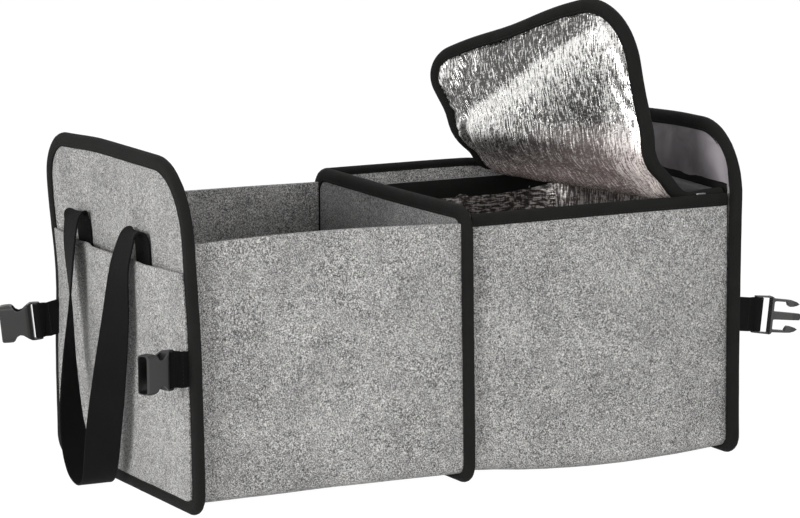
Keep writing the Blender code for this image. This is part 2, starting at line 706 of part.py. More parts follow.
def straps_and_buckles(left_pocket, right_pocket, finishes):
    """A doubled strap and half a buckle on each corner of the bag."""
    stand_off = PANEL_WIDTH / 2 - LIP - GAP - STRAP_WEBBING - GAP
    for end, side, turned, drooped, reach in CORNERS:
        front = -1 if side == "front" else 1
        out = -1 if end == "left" else 1
        face = left_pocket if end == "left" else right_pocket
        y = front * stand_off
        droop = math.radians(drooped)
        root = Vector((face + out * (GAP + pocket_gape(y, STRAP_HEIGHT)), y, STRAP_HEIGHT))
        heading = Matrix.Rotation(math.pi if out < 0 else 0.0, 4, "Z") @ Matrix.Rotation(droop, 4, "Y")
        fixed = bpy.data.objects.new(f"strap_{end}_{side}_bar", None)
        bpy.context.scene.collection.objects.link(fixed)
        fixed.matrix_world = Matrix.Translation(root) @ heading @ Matrix.Translation((reach, 0, 0))
        strap(f"strap_{end}_{side}", fixed, reach, droop, finishes["webbing"])
        swivel = bpy.data.objects.new(f"buckle_{end}_{side}_swivel", None)
        bpy.context.scene.collection.objects.link(swivel)
        swivel.parent = fixed
        swivel.matrix_basis = Matrix.Rotation(math.radians(turned), 4, "Z")
        if end == "left":
            buckle_socket(f"buckle_socket_{end}_{side}", swivel, finishes["plastic"])
        else:
            buckle_plug(f"buckle_plug_{end}_{side}", swivel, finishes["plastic"])


def zip_slider(finishes):
    """The slider at the open end of the zip, on the inner face of the front rim, and its pull."""
    wall = -WALL_Y + FELT + GAP + BINDING + GAP
    x_high = LID_SEAM - SLIDER_FROM_HINGE
    x_low = x_high - SLIDER_LENGTH
    top = LID_BOTTOM - 2 * GAP
    low = top - SLIDER_HEIGHT
    made = box("zip_slider", (x_low, wall, low), (x_high, wall + SLIDER_WIDTH, top), finishes["metal"], EAR)
    hinge = Vector(((x_low + x_high) / 2, wall + SLIDER_WIDTH / 2, low - PIN_DROP))
    for x in (x_low + EAR, x_high - 2 * EAR):
        ear = box("ear", (x, wall + EAR, hinge.z - 2 * PULL_PIN),
                  (x + EAR, wall + SLIDER_WIDTH - EAR, low + EAR / 2), CUTTER)
        combine(made, ear, "UNION")
    half_span = SLIDER_LENGTH / 2 - 1.5 * EAR
    pin = bar("pin", PULL_PIN, half_span)
    pin.data.transform(Matrix.Translation(hinge) @ Matrix.Rotation(math.pi / 2, 4, "Y"))
    combine(made, pin, "UNION")
    made.data.materials.clear()
    made.data.materials.append(finishes["metal"])
    swivel = bpy.data.objects.new("zip_pull_swivel", None)
    bpy.context.scene.collection.objects.link(swivel)
    swivel.matrix_world = Matrix.Translation(hinge) @ Matrix.Rotation(math.radians(PULL_LIFT), 4, "X")
    zip_pull(SLIDER_LENGTH / 2 - 2 * EAR - GAP, swivel, finishes["metal"])


def zip_pull(neck, swivel, finish):
    """A flat metal tab with a narrow neck and a round eye."""
    half = PULL_WIDTH / 2
    chamfer = PULL_WIDTH / 4
    outline = [
        (-neck, PULL_PIN), (neck, PULL_PIN), (neck, -PULL_NECK), (half, -PULL_NECK - chamfer),
        (half, -PULL_LENGTH + chamfer), (half - chamfer, -PULL_LENGTH),
        (-half + chamfer, -PULL_LENGTH), (-half, -PULL_LENGTH + chamfer),
        (-half, -PULL_NECK - chamfer), (-neck, -PULL_NECK),
    ]
    made = prism("zip_pull", outline, -PULL_THICKNESS / 2, PULL_THICKNESS / 2, "XZ", finish)
    clear = PULL_PIN + GAP
    for word, radius, length, operation in (("collar", clear + PULL_COLLAR, neck, "UNION"),
                                            ("bore", clear, 2 * neck, "DIFFERENCE")):
        tool = bar(word, radius, length)
        tool.data.transform(Matrix.Rotation(math.pi / 2, 4, "Y"))
        combine(made, tool, operation)
    made.data.materials.clear()
    made.data.materials.append(finish)
    made.parent = swivel


def body(finishes):
    """Panels, divider, bindings, felt walls, base boards and rim bands."""
    panel = (PANEL_WIDTH, PANEL_HEIGHT, PANEL_TOP_RADIUS, PANEL_LOW_RADIUS)
    divider = (DIVIDER_WIDTH, DIVIDER_HEIGHT, DIVIDER_TOP_RADIUS, DIVIDER_LOW_RADIUS)
    boards = [
        ("end_panel_left", LEFT_FACE - PANEL_BOARD, LEFT_FACE, panel),
        ("divider_panel", -DIVIDER_FACE, DIVIDER_FACE, divider),
        ("end_panel_right", RIGHT_FACE, RIGHT_FACE + PANEL_BOARD, panel),
    ]
    for name, x_low, x_high, size in boards:
        upright_board(name, x_low, x_high, size, finishes["felt"])
        bound_edge(name.replace("_panel", "") + "_binding", x_low, x_high, size, finishes["binding"])
    storage = (LEFT_FACE + GAP + END_CLEARANCE, -DIVIDER_FACE - GAP - END_CLEARANCE)
    cooler = (DIVIDER_FACE + GAP + END_CLEARANCE, RIGHT_FACE - GAP - END_CLEARANCE)
    folded_walls("storage_walls", *storage, STORAGE_HEIGHT, 0.0, finishes["felt"])
    folded_walls("cooler_walls", *cooler, COOLER_HEIGHT, COOLER_SAG, finishes["felt"])
    floor = BASE_Z + FELT + GAP
    half = WALL_Y - FOLD_RADIUS
    for name, (x_low, x_high) in (("storage_base_board", storage), ("cooler_base_board", cooler)):
        box(name, (x_low, -half, floor), (x_high, half, floor + BASE_BOARD), finishes["board"], 0.004)
    for side, word in ((-1, "front"), (1, "back")):
        rim_band(f"cooler_{word}_rim_band", *cooler, side, finishes["binding"])
    half_seam = LID_WIDTH / 2
    tape_low = LID_BOTTOM - HINGE_TAPE_BELOW
    tape_high = LID_TOP + HINGE_TAPE_ABOVE
    seam_y = WALL_Y - FELT - 2 * GAP - BINDING
    box("lid_hinge_tape", (RIGHT_FACE - GAP - HINGE_TAPE, -seam_y, tape_low),
        (RIGHT_FACE - GAP, seam_y, tape_high), finishes["binding"])
    lining_low = tape_high + GAP
    lining_high = PANEL_HEIGHT - BINDING - LIP - GAP
    round_top = lining_high - lining_low - 2 * LINING_LOW_RADIUS
    lining = rounded_rectangle((-half_seam + LIP, lining_low), (half_seam - LIP, lining_high),
                               [LINING_LOW_RADIUS, round_top, round_top, LINING_LOW_RADIUS])
    rings = [[(x, y, z) for y, z in lining] for x in (RIGHT_FACE - GAP - LINING, RIGHT_FACE - GAP)]
    loft("end_lining_right", rings, finishes["lining"])


for old in list(bpy.data.objects):
    bpy.data.objects.remove(old)

CUTTER = material("cutter", (0.5, 0.5, 0.5), 0.5)
FINISHES = {
    "felt": material("grey_felt", (0.33, 0.33, 0.32), 0.95),
    "binding": material("black_binding", (0.018, 0.018, 0.017), 0.75),
    "webbing": material("black_webbing", (0.012, 0.012, 0.012), 0.8),
    "plastic": material("dark_plastic", (0.045, 0.045, 0.043), 0.45),
    "foil": material("crinkled_foil", (0.62, 0.61, 0.60), 0.3, 0.9),
    "foam": material("white_foam", (0.75, 0.75, 0.74), 0.9),
    "board": material("grey_board", (0.25, 0.25, 0.25), 0.9),
    "lining": material("grey_lining", (0.14, 0.13, 0.135), 0.7),
    "metal": material("zip_metal", (0.30, 0.30, 0.30), 0.35, 1.0),
}
body(FINISHES)
insulated_box(FINISHES)
lid(FINISHES)
pocket("pocket_left", LEFT_FACE - PANEL_BOARD, -1, FINISHES["felt"])
pocket("pocket_right", RIGHT_FACE + PANEL_BOARD, 1, FINISHES["felt"])
handle("handle_left", LEFT_FACE - PANEL_BOARD, -1, FINISHES["webbing"])
handle("handle_right", RIGHT_FACE + PANEL_BOARD, 1, FINISHES["webbing"])
straps_and_buckles(LEFT_FACE - PANEL_BOARD - POCKET_FELT, RIGHT_FACE + PANEL_BOARD + POCKET_FELT, FINISHES)
zip_slider(FINISHES)
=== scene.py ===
# %% [markdown]
# # A felt boot organizer with an insulated compartment
#
# The rigid model of this bag is already made: its solids carry the joints and the collisions.
# Here each soft piece gets its looks: felt with thickness and a little slack, folded black tape
# round every edge, crinkled foil, woven straps. The solids stay where they are, and each soft
# piece stands in the place of the solid that it replaces.

import math

import bmesh
import bpy
import numpy as np
from mathutils import Matrix, Vector, noise


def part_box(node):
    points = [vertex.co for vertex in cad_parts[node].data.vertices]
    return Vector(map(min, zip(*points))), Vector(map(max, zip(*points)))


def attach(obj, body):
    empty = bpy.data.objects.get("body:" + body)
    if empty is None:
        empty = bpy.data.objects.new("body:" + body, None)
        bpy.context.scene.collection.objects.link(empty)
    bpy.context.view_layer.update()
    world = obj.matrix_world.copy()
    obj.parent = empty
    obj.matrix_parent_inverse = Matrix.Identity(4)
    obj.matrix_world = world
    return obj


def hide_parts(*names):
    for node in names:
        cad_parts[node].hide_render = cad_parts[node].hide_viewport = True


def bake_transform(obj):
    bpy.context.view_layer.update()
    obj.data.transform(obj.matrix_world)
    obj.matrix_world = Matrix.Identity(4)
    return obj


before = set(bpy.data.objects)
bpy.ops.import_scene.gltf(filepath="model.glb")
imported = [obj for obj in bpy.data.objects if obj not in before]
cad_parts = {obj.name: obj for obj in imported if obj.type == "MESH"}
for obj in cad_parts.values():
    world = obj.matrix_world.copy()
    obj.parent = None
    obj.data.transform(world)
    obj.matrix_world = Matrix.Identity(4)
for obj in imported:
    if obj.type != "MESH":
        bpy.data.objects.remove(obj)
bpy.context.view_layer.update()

# %% [markdown]
# ## The camera
#
# The photograph was taken a little above the bag and from the left of its front. A long lens
# keeps the upright edges upright. The camera is built from its viewing direction, and a small
# roll levels it as the photographer's was.

# %% Camera
CAMERA_TURN = math.radians(26.923)
CAMERA_TILT = math.radians(9.151)
CAMERA_ROLL = math.radians(-0.465)
CAMERA_DISTANCE = 3.4
CAMERA_TARGET = Vector((0.0084, 0.0, 0.1733))
IMAGE_WIDTH = 800
FOCAL_PIXELS = 3880
SENSOR = 36.0


def add_object(name, data):
    """A new object in the scene's collection."""
    made = bpy.data.objects.new(name, data)
    bpy.context.scene.collection.objects.link(made)
    return made


def make_camera():
    """A level camera that looks along its turn and tilt, then rolled a little."""
    ahead = Vector((math.sin(CAMERA_TURN) * math.cos(CAMERA_TILT),
                    math.cos(CAMERA_TURN) * math.cos(CAMERA_TILT), -math.sin(CAMERA_TILT)))
    right = ahead.cross(Vector((0, 0, 1))).normalized()
    above = right.cross(ahead)
    side = right * math.cos(CAMERA_ROLL) + above * math.sin(CAMERA_ROLL)
    top = above * math.cos(CAMERA_ROLL) - right * math.sin(CAMERA_ROLL)
    data = bpy.data.cameras.new("camera")
    data.sensor_width = SENSOR
    data.lens = FOCAL_PIXELS * SENSOR / IMAGE_WIDTH
    data.clip_start, data.clip_end = 0.1, 30.0
    made = add_object("camera", data)
    made.matrix_world = (Matrix.Translation(CAMERA_TARGET - ahead * CAMERA_DISTANCE)
                         @ Matrix((side, top, -ahead)).transposed().to_4x4())
    bpy.context.scene.camera = made
    return made


camera = make_camera()
print("lens, mm:", round(camera.data.lens, 1))

# %% [markdown]
# ## Writing materials as sums
#
# A material in Blender is a network of nodes. Wrapping a socket in a small class lets us write
# `0.3 + 0.5 * speckle` and get the Math nodes for it. Every other node comes from one method,
# which takes the node's type, its settings and what goes into its sockets.

# %% A socket that can be added and multiplied
class Signal:
    """One output socket of a material's network. Sums with it add Math nodes."""

    def __init__(self, paint, socket):
        self.paint = paint
        self.socket = socket

    def math(self, operation, other=0.0, swap=False):
        first, second = (other, self) if swap else (self, other)
        return self.paint.add("ShaderNodeMath", {"operation": operation}, {0: first, 1: second})

    def __add__(self, other):
        return self.math("ADD", other)

    def __sub__(self, other):
        return self.math("SUBTRACT", other)

    def __rsub__(self, other):
        return self.math("SUBTRACT", other, swap=True)

    def __mul__(self, other):
        return self.math("MULTIPLY", other)

    __radd__ = __add__
    __rmul__ = __mul__

    def between(self, low, high):
        """0 below the low value, 1 above the high one and a smooth step in the middle."""
        return self.paint.add("ShaderNodeMapRange", {"interpolation_type": "SMOOTHSTEP"},
                              {"Value": self, "From Min": low, "From Max": high})


# %% A material's network
class Paint:
    """A material, or the sky, that is written node by node."""

    def __init__(self, name, owner=None):
        self.material = owner or bpy.data.materials.new(name)
        self.material.use_nodes = True
        self.tree = self.material.node_tree
        self.tree.nodes.clear()

    def add(self, kind, settings=None, sockets=None, output=None):
        """Adds one node: its settings first, then its sockets' values or links."""
        node = self.tree.nodes.new(kind)
        for key, value in (settings or {}).items():
            if key == "stops":
                self.set_stops(node.color_ramp, value)
            else:
                setattr(node, key, value)
        for key, value in (sockets or {}).items():
            enabled = [s for s in node.inputs if s.enabled]
            socket = enabled[key] if isinstance(key, int) else next(s for s in enabled if s.name == key)
            if isinstance(value, Signal):
                self.tree.links.new(value.socket, socket)
            else:
                socket.default_value = value
        outputs = [s for s in node.outputs if s.enabled]
        if not outputs:
            return None
        return Signal(self, next((s for s in outputs if s.name == output), outputs[0]))

    def set_stops(self, ramp, stops):
        while len(ramp.elements) < len(stops):
            ramp.elements.new(0.5)
        for element, (position, colour) in zip(ramp.elements, stops):
            element.position = position
            element.color = (*colour, 1.0)

    def place(self, turned=(0, 0, 0), stretched=(1, 1, 1)):
        """Where a point is on the object, in metres, turned and stretched if asked."""
        where = self.add("ShaderNodeTexCoord", output="Object")
        if turned == (0, 0, 0) and stretched == (1, 1, 1):
            return where
        return self.add("ShaderNodeMapping", {},
                        {"Vector": where, "Rotation": turned, "Scale": stretched})

    def scaled(self, where, stretched):
        """A place with its three numbers multiplied."""
        return self.add("ShaderNodeMapping", {}, {"Vector": where, "Scale": stretched})

    def cloud(self, where, scale, detail=2.0, rough=0.5, warp=0.0):
        """Soft noise from 0 to 1."""
        return self.add("ShaderNodeTexNoise", {},
                        {"Vector": where, "Scale": scale, "Detail": detail,
                         "Roughness": rough, "Distortion": warp}, output="Fac")

    def waves(self, where, scale, axis):
        """Even ribs across one axis, from 0 to 1."""
        return self.add("ShaderNodeTexWave", {"wave_type": "BANDS", "bands_direction": axis},
                        {"Vector": where, "Scale": scale}, output="Fac")

    def carried(self, name, output):
        """A value that each point of the mesh carries, by its name."""
        return self.add("ShaderNodeAttribute", {"attribute_name": name}, output=output)

    def axis(self, where, name):
        """One coordinate of a place."""
        return self.add("ShaderNodeSeparateXYZ", {}, {"Vector": where}, output=name)

    def ramp(self, value, stops):
        return self.add("ShaderNodeValToRGB", {"stops": stops}, {"Fac": value})

    def mix(self, share, first, second):
        """A blend of two colours."""
        return self.add("ShaderNodeMix", {"data_type": "RGBA"},
                        {"Factor": share, "A": first, "B": second})

    def shades(self, share, colour, low, high):
        """One colour from a darker to a lighter shade of it."""
        return self.mix(share, *(rgba(tuple(level * c for c in colour)) for level in (low, high)))

    def bump(self, height, strength, depth):
        return self.add("ShaderNodeBump", {}, {"Height": height, "Strength": strength, "Distance": depth})

    def surface(self, sockets):
        """The shader itself, joined to the material's output."""
        shader = self.add("ShaderNodeBsdfPrincipled", {}, sockets)
        self.add("ShaderNodeOutputMaterial", {}, {"Surface": shader})
        return self.material


def grey(level):
    return (level, level, level)


def rgba(colour):
    return (*colour, 1.0)


# %% [markdown]
# ## Felt
#
# The walls are needle felt, pressed from pale and dark fibres. Close up it is a salt and pepper
# speckle a millimetre or two across, over slow clouds of lighter and darker wool. Noises of
# several sizes add up to a value, and a ramp turns that value into wool colours. The same
# fibres raise a shallow bump, and a fuzz of loose hairs on the surface is a weak sheen.

# %% Felt material
def felt(name, dark, middle, light, warm=1.0, gusset=None):
    """Felt of three wool colours. A gusset is how far black cloth covers it from its seam."""
    paint = Paint(name)
    place = paint.place()
    slow = paint.cloud(place, 24.0, 3.0, 0.6)
    patch = paint.cloud(place, 210.0, 3.0, 0.6)
    speckle = paint.cloud(place, 1150.0, 2.0, 0.7, 0.4)
    strands = paint.cloud(paint.place((0.5, 0.9, 0.7), (1.0, 3.5, 1.0)), 720.0, 3.0, 0.7, 1.0)
    crossed = paint.cloud(paint.place((-0.6, 0.3, -1.0), (3.5, 1.0, 1.0)), 720.0, 3.0, 0.7, 1.0)
    fibres = 0.5 * strands + 0.5 * crossed
    value = (0.5 + 0.30 * (slow - 0.5) + 0.42 * (patch - 0.5)
             + 2.6 * (speckle - 0.5) + 3.0 * (fibres - 0.5))
    wool = paint.ramp(value, [(0.14, dark), (0.43, tuple(0.78 * c for c in middle)),
                              (0.57, tuple(1.08 * c for c in middle)),
                              (0.88, (light[0] * warm, light[1], light[2] / warm))])
    if gusset is not None:
        uneven = 0.006 * (paint.cloud(place, 60.0, 2.0, 0.5) - 0.5)
        edge = paint.axis(paint.carried("strip", "Vector"), "X") + uneven
        wool = paint.mix(edge.between(gusset, gusset + 0.0006), rgba(grey(0.002)), wool)
    hair = paint.cloud(place, 1500.0, 2.0, 0.7)
    height = 0.7 * fibres + 0.4 * speckle + 0.2 * hair + 0.15 * patch
    return paint.surface({
        "Base Color": wool, "Roughness": 0.95, "Specular IOR Level": 0.12,
        "Sheen Weight": 0.25, "Sheen Roughness": 0.6,
        "Normal": paint.bump(height, 0.6, 0.0005),
    })


FELT = felt("felt_melange", grey(0.030), (0.305, 0.302, 0.297), (0.80, 0.795, 0.78), 1.01)
# A darker copy of the same felt: painted shade for the divider and the deck inside the bag, where little
# light reaches.
FELT_PAINTED_SHADE = felt("felt_painted_shade", grey(0.030), (0.230, 0.229, 0.228), (0.56, 0.555, 0.55))
GUSSET = 0.050
FELT_LID = felt("felt_lid", grey(0.030), (0.305, 0.302, 0.297), (0.80, 0.795, 0.78), 1.01, GUSSET)
print("felt materials:", FELT.name, FELT_PAINTED_SHADE.name, FELT_LID.name)

# %% [markdown]
# ## Black tape and webbing
#
# The edges are bound with a folded polyester tape, and the handles are a thicker woven webbing.
# Both are near black, so what shows is not their colour but how the weave catches light. Fine
# ribs along and across the weave give the bump, and the rib tops are painted slightly paler, a
# painted highlight that stops the black from looking like a hole in the picture.

# %% Woven black materials
def woven(name, colour, rib, cross, rough, strength):
    """Cloth woven along a strip. The strip says how far along and across it each point is."""
    paint = Paint(name)
    strip = paint.carried("strip", "Vector")
    turns = 1 / (2 * math.pi)
    ribs = paint.waves(strip, 10 * turns / rib, "Y")
    picks = paint.waves(strip, 10 * turns / cross, "X")
    twill = paint.waves(strip, 7 * turns / cross, "DIAGONAL")
    wear = paint.cloud(paint.place(), 55.0, 3.0, 0.6)
    fluff = paint.cloud(paint.place(), 1300.0, 2.0, 0.6)
    weave = 0.45 * ribs + 0.3 * picks + 0.25 * twill
    # The rib tops are painted paler, a painted highlight on the weave; wear and fluff are random tone.
    shade = 0.35 + 0.35 * weave + 0.7 * (wear - 0.5) + 0.5 * (fluff - 0.5)
    return paint.surface({
        "Base Color": paint.shades(shade, colour, 0.4, 1.7), "Roughness": rough, "Specular IOR Level": 0.14,
        "Normal": paint.bump(weave + 0.5 * fluff, strength, 0.00035),
    })


TAPE = woven("black_tape", (0.0085, 0.0085, 0.0079), 0.0013, 0.0010, 0.8, 0.6)
WEBBING = woven("black_webbing", (0.0040, 0.0040, 0.0040), 0.0022, 0.0012, 0.8, 0.9)
# The thread is painted paler than the tape, a painted sheen that lets the stitches show.
THREAD = woven("black_thread", (0.020, 0.020, 0.0195), 0.0008, 0.0006, 0.6, 0.3)

# %% [markdown]
# ## Crinkled foil
#
# The lining is aluminium foil on thin foam. Foil cannot stretch, so it crushes into thousands of
# small facets, long ones one way and weaker ones across them. Two noises, each stretched in its
# own direction, give those facets: where they are high a glint is painted into the colour, and
# where they are low a dark reflection is painted. The large waves are real geometry, made later.

# %% Foil material
def foil(name, spread, streak_scale, hatch_scale, dark, bright, rough, on_lid=False):
    """Crushed foil. Streaks run one way and a weaker hatch the other.

    The dark and bright colours are painted reflections and glints. On the lid, each point also
    carries a painted highlight that lightens its part of the sheet (shine) and how far
    into the bend it is (bend), where the foil is duller and a warm, darker reflection is painted.
    """
    paint = Paint(name)
    where = paint.carried("strip", "Vector") if on_lid else paint.place()
    drift = spread * (paint.cloud(where, 60.0, 2.0, 0.5) - 0.5)
    wander = paint.add("ShaderNodeCombineXYZ", {}, {"X": drift, "Y": drift, "Z": drift})
    bent = paint.add("ShaderNodeVectorMath", {"operation": "ADD"}, {0: where, 1: wander})
    streaks = paint.cloud(paint.scaled(bent, streak_scale), 1.0, 2.0, 0.55, 0.4)
    hatch = paint.cloud(paint.scaled(bent, hatch_scale), 1.0, 2.0, 0.55, 0.4)
    crush = paint.cloud(where, 1300.0, 2.0, 0.6)
    value = 0.66 * streaks + 0.24 * hatch + 0.10 * crush
    metal = 0.75
    if on_lid:
        shine, bend = paint.carried("shine", "Fac"), paint.carried("bend", "Fac")
        # Painted glints and dark reflections, shifted by the painted highlight of each part of the lid.
        painted_glint = (value + 0.13 * (shine - 0.5)).between(0.46, 0.57)
        lit = paint.mix(painted_glint, rgba(dark), rgba(bright))
        # In the bend a warm, darker reflection is painted in.
        warm = paint.mix(painted_glint, rgba((0.26, 0.208, 0.20)), rgba((1.0, 0.90, 0.865)))
        colour = paint.mix(bend, lit, warm)
        metal = 1.0 - 0.85 * bend
    else:
        # Painted glints and dark reflections on the liner's foil.
        painted_glint = value.between(0.47, 0.60)
        colour = paint.mix(painted_glint, rgba(dark), rgba(bright))
    return paint.surface({
        "Base Color": colour, "Metallic": metal, "Roughness": rough + 0.10 * hatch,
        "Normal": paint.bump(value, 0.9, 0.0008),
    })


# Each foil's dark and bright colours are painted reflections and glints; the hinge wall's are painted a
# little lighter.
FOIL_LID = foil("foil_lid", 0.005, (120.0, 820.0, 400.0), (760.0, 240.0, 300.0),
                (0.090, 0.088, 0.086), (0.97, 0.955, 0.935), 0.22, on_lid=True)
FOIL_LINER = foil("foil_liner", 0.004, (110.0, 110.0, 560.0), (480.0, 480.0, 160.0),
                  (0.10, 0.088, 0.084), (0.95, 0.89, 0.86), 0.24)
FOIL_HINGE_WALL = foil("foil_hinge_wall", 0.003, (640.0, 640.0, 80.0), (180.0, 180.0, 500.0),
                       (0.13, 0.113, 0.108), (1.0, 0.95, 0.92), 0.24)

# %% [markdown]
# ## Plastic, metal, lining and board
#
# The buckles are moulded acetal: dark, satin, with the faint grain of the mould. The zip slider
# is plated metal. The right panel has a smooth woven lining inside, and the base boards wear a
# dull cloth.

# %% Small materials
def moulded(name, colour, rough):
    paint = Paint(name)
    grain = paint.cloud(paint.place(), 2200.0, 2.0, 0.5)
    scuff = paint.cloud(paint.place(), 140.0, 4.0, 0.65)
    return paint.surface({
        "Base Color": paint.shades(scuff, colour, 0.8, 1.25),
        "Roughness": rough + 0.18 * (scuff - 0.5), "Specular IOR Level": 0.5,
        "Normal": paint.bump(grain, 0.12, 0.0002),
    })


def plated(name, colour, rough):
    paint = Paint(name)
    scratches = paint.cloud(paint.place((0, 0, 0), (0.2, 1, 1)), 1500.0, 3.0, 0.7)
    return paint.surface({
        "Base Color": paint.shades(scratches, colour, 0.7, 1.0),
        "Metallic": 1.0, "Roughness": rough + 0.2 * (scratches - 0.5),
        "Normal": paint.bump(scratches, 0.15, 0.0001),
    })


def smooth_lining(name, colour):
    paint = Paint(name)
    place = paint.place()
    mottle = paint.cloud(place, 28.0, 3.0, 0.55, 0.6)
    weave = 0.5 * paint.waves(place, 700.0, "Y") + 0.5 * paint.waves(place, 700.0, "Z")
    return paint.surface({
        "Base Color": paint.shades(0.1 + 1.5 * (mottle - 0.3), colour, 0.55, 1.5),
        "Roughness": 0.55 + 0.1 * weave, "Specular IOR Level": 0.35,
        "Normal": paint.bump(weave + 0.6 * mottle, 0.15, 0.0004),
    })


BUCKLE = moulded("buckle_plastic", (0.0130, 0.0130, 0.0124), 0.42)
METAL = plated("zip_nickel", (0.40, 0.40, 0.39), 0.32)
LINING = smooth_lining("grey_lining", (0.350, 0.322, 0.345))
BOARD = felt("board_cloth", grey(0.05), grey(0.17), grey(0.33))
FOAM = felt("foam_white", grey(0.6), grey(0.75), grey(0.85))
COIL = moulded("zip_coil", (0.022, 0.022, 0.022), 0.35)

# %% [markdown]
# ## Making sheets and strips
#
# Almost everything here is a sheet with a thickness or a strip wrapped along an edge. Two helpers
# make them. The first takes a grid of points, lifts it to both sides and closes the rim with a
# rounded edge, so that a cut felt edge reads as thick cloth. The second sweeps a section along
# a path. Both give closed meshes.

# %% Mesh helpers
SAME_POINT = 1e-6


def soften(mesh, sharp):
    """Smooth shading, with only the edges above an angle in degrees left sharp."""
    mesh.shade_smooth()
    mesh.set_sharp_from_angle(angle=math.radians(sharp))


def piece(name, points, faces, finish, sharp=50, strip=None):
    """One mesh object with its normals outward and its material on it.

    A strip gives each point its distance along and across the tape, for the weave.
    """
    mesh = bpy.data.meshes.new(name)
    mesh.from_pydata([tuple(p) for p in points], [], faces)
    if strip is not None:
        layer = mesh.attributes.new("strip", "FLOAT_VECTOR", "POINT")
        layer.data.foreach_set("vector", np.asarray(strip, np.float32).ravel())
    work = bmesh.new()
    work.from_mesh(mesh)
    bmesh.ops.remove_doubles(work, verts=work.verts, dist=SAME_POINT)
    bmesh.ops.recalc_face_normals(work, faces=work.faces)
    work.to_mesh(mesh)
    work.free()
    soften(mesh, sharp)
    mesh.materials.append(finish)
    return add_object(name, mesh)


def on_bag(made, slot, *nodes):
    """Fixes a piece to the bag, in the place of the solids that it shows."""
    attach(made, "bag")
    if nodes:
        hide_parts(*nodes)
    return made


def unit(vectors):
    """The same directions, one long."""
    return vectors / np.maximum(np.linalg.norm(vectors, axis=-1, keepdims=True), 1e-12)


def grid_normals(grid):
    """Which way a grid of points faces, at each point."""
    return unit(np.cross(np.gradient(grid, axis=0), np.gradient(grid, axis=1)))


def sheet_mesh(grid, thickness, roundness=0.5):
    """Points and faces of a thick sheet. The rim is half round."""
    rows, columns, _ = grid.shape
    normal = grid_normals(grid)
    half = thickness / 2
    outer = grid + normal * half
    inner = grid - normal * half
    rim_index = ([(0, c) for c in range(columns)] + [(r, columns - 1) for r in range(1, rows)]
                 + [(rows - 1, c) for c in range(columns - 2, -1, -1)]
                 + [(r, 0) for r in range(rows - 2, 0, -1)])
    inward = np.zeros_like(grid)
    inward[0] += unit(grid[1] - grid[0])
    inward[-1] += unit(grid[-2] - grid[-1])
    inward[:, 0] += unit(grid[:, 1] - grid[:, 0])
    inward[:, -1] += unit(grid[:, -2] - grid[:, -1])
    rim = np.array([grid[r, c] - inward[r, c] * half * roundness for r, c in rim_index])
    points = np.concatenate([outer.reshape(-1, 3), inner.reshape(-1, 3), rim])
    count = rows * columns

    def at(r, c, side=0):
        return side * count + r * columns + c
    faces = []
    for r in range(rows - 1):
        for c in range(columns - 1):
            faces.append((at(r, c), at(r, c + 1), at(r + 1, c + 1), at(r + 1, c)))
            faces.append((at(r, c, 1), at(r + 1, c, 1), at(r + 1, c + 1, 1), at(r, c + 1, 1)))
    total = len(rim_index)
    for k in range(total):
        (r0, c0), (r1, c1) = rim_index[k], rim_index[(k + 1) % total]
        m0, m1 = 2 * count + k, 2 * count + (k + 1) % total
        faces.append((at(r0, c0), m0, m1, at(r1, c1)))
        faces.append((at(r0, c0, 1), at(r1, c1, 1), m1, m0))
    return points, faces


def sheet_piece(name, grid, thickness, finish):
    return piece(name, *sheet_mesh(np.asarray(grid, float), thickness), finish, 60)


def sweep_mesh(rings, closed, offset=0):
    """Faces that join rings of points in order, capped unless the sweep closes on itself."""
    rings = np.asarray(rings, float)
    spans, count, _ = rings.shape
    faces = []
    for s in range(spans if closed else spans - 1):
        low, high = s * count, ((s + 1) % spans) * count
        for k in range(count):
            n = (k + 1) % count
            faces.append((low + k, low + n, high + n, high + k))
    if not closed:
        faces.append(tuple(range(count)))
        faces.append(tuple(range((spans - 1) * count, spans * count)))
    return rings.reshape(-1, 3), [tuple(offset + i for i in face) for face in faces]


def strip_places(rings):
    """Distance along the sweep and round its section, for every point of it."""
    rings = np.asarray(rings, float)
    middle = rings.mean(axis=1)
    along = np.concatenate([[0], np.cumsum(np.linalg.norm(np.diff(middle, axis=0), axis=1))])
    round_it = np.linalg.norm(np.diff(rings, axis=1), axis=2).mean(axis=0)
    across = np.concatenate([[0], np.cumsum(round_it)])
    places = np.zeros(rings.shape)
    places[..., 0] = along[:, None]
    places[..., 1] = across[None, :]
    return places.reshape(-1, 3)


def sweep_piece(name, rings, finish, closed=False, sharp=50):
    return piece(name, *sweep_mesh(rings, closed), finish, sharp, strip_places(rings))


def ripple(point, scale, seed=0.0):
    """Smooth repeatable noise from about -1 to 1."""
    return noise.noise(Vector(point) * scale + Vector((seed, 3.7 * seed, 1.3 * seed)))


# %% [markdown]
# ## Where the bag's faces are
#
# The solids say where everything is, so the sizes of the panels are read from them. The left
# panel leans out by about seven millimetres at its top, as it does in the photograph, and the
# right one by about half of that. Every piece that is sewn to a panel asks the same function where the
# panel is at a given height.

# %% Positions from the solids
LIP = 0.0110          # how far the folded tape reaches in from a board's edge
WALL_FELT = 0.003
left_low, left_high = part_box("end_panel_left")
right_low, right_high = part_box("end_panel_right")
divider_low, divider_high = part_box("divider_panel")
storage_low, storage_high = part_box("storage_walls")
cooler_low, cooler_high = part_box("cooler_walls")
HALF_WALL = storage_high.y


def smooth(t):
    """A soft step from 0 to 1."""
    t = np.clip(t, 0.0, 1.0)
    return t * t * (3 - 2 * t)


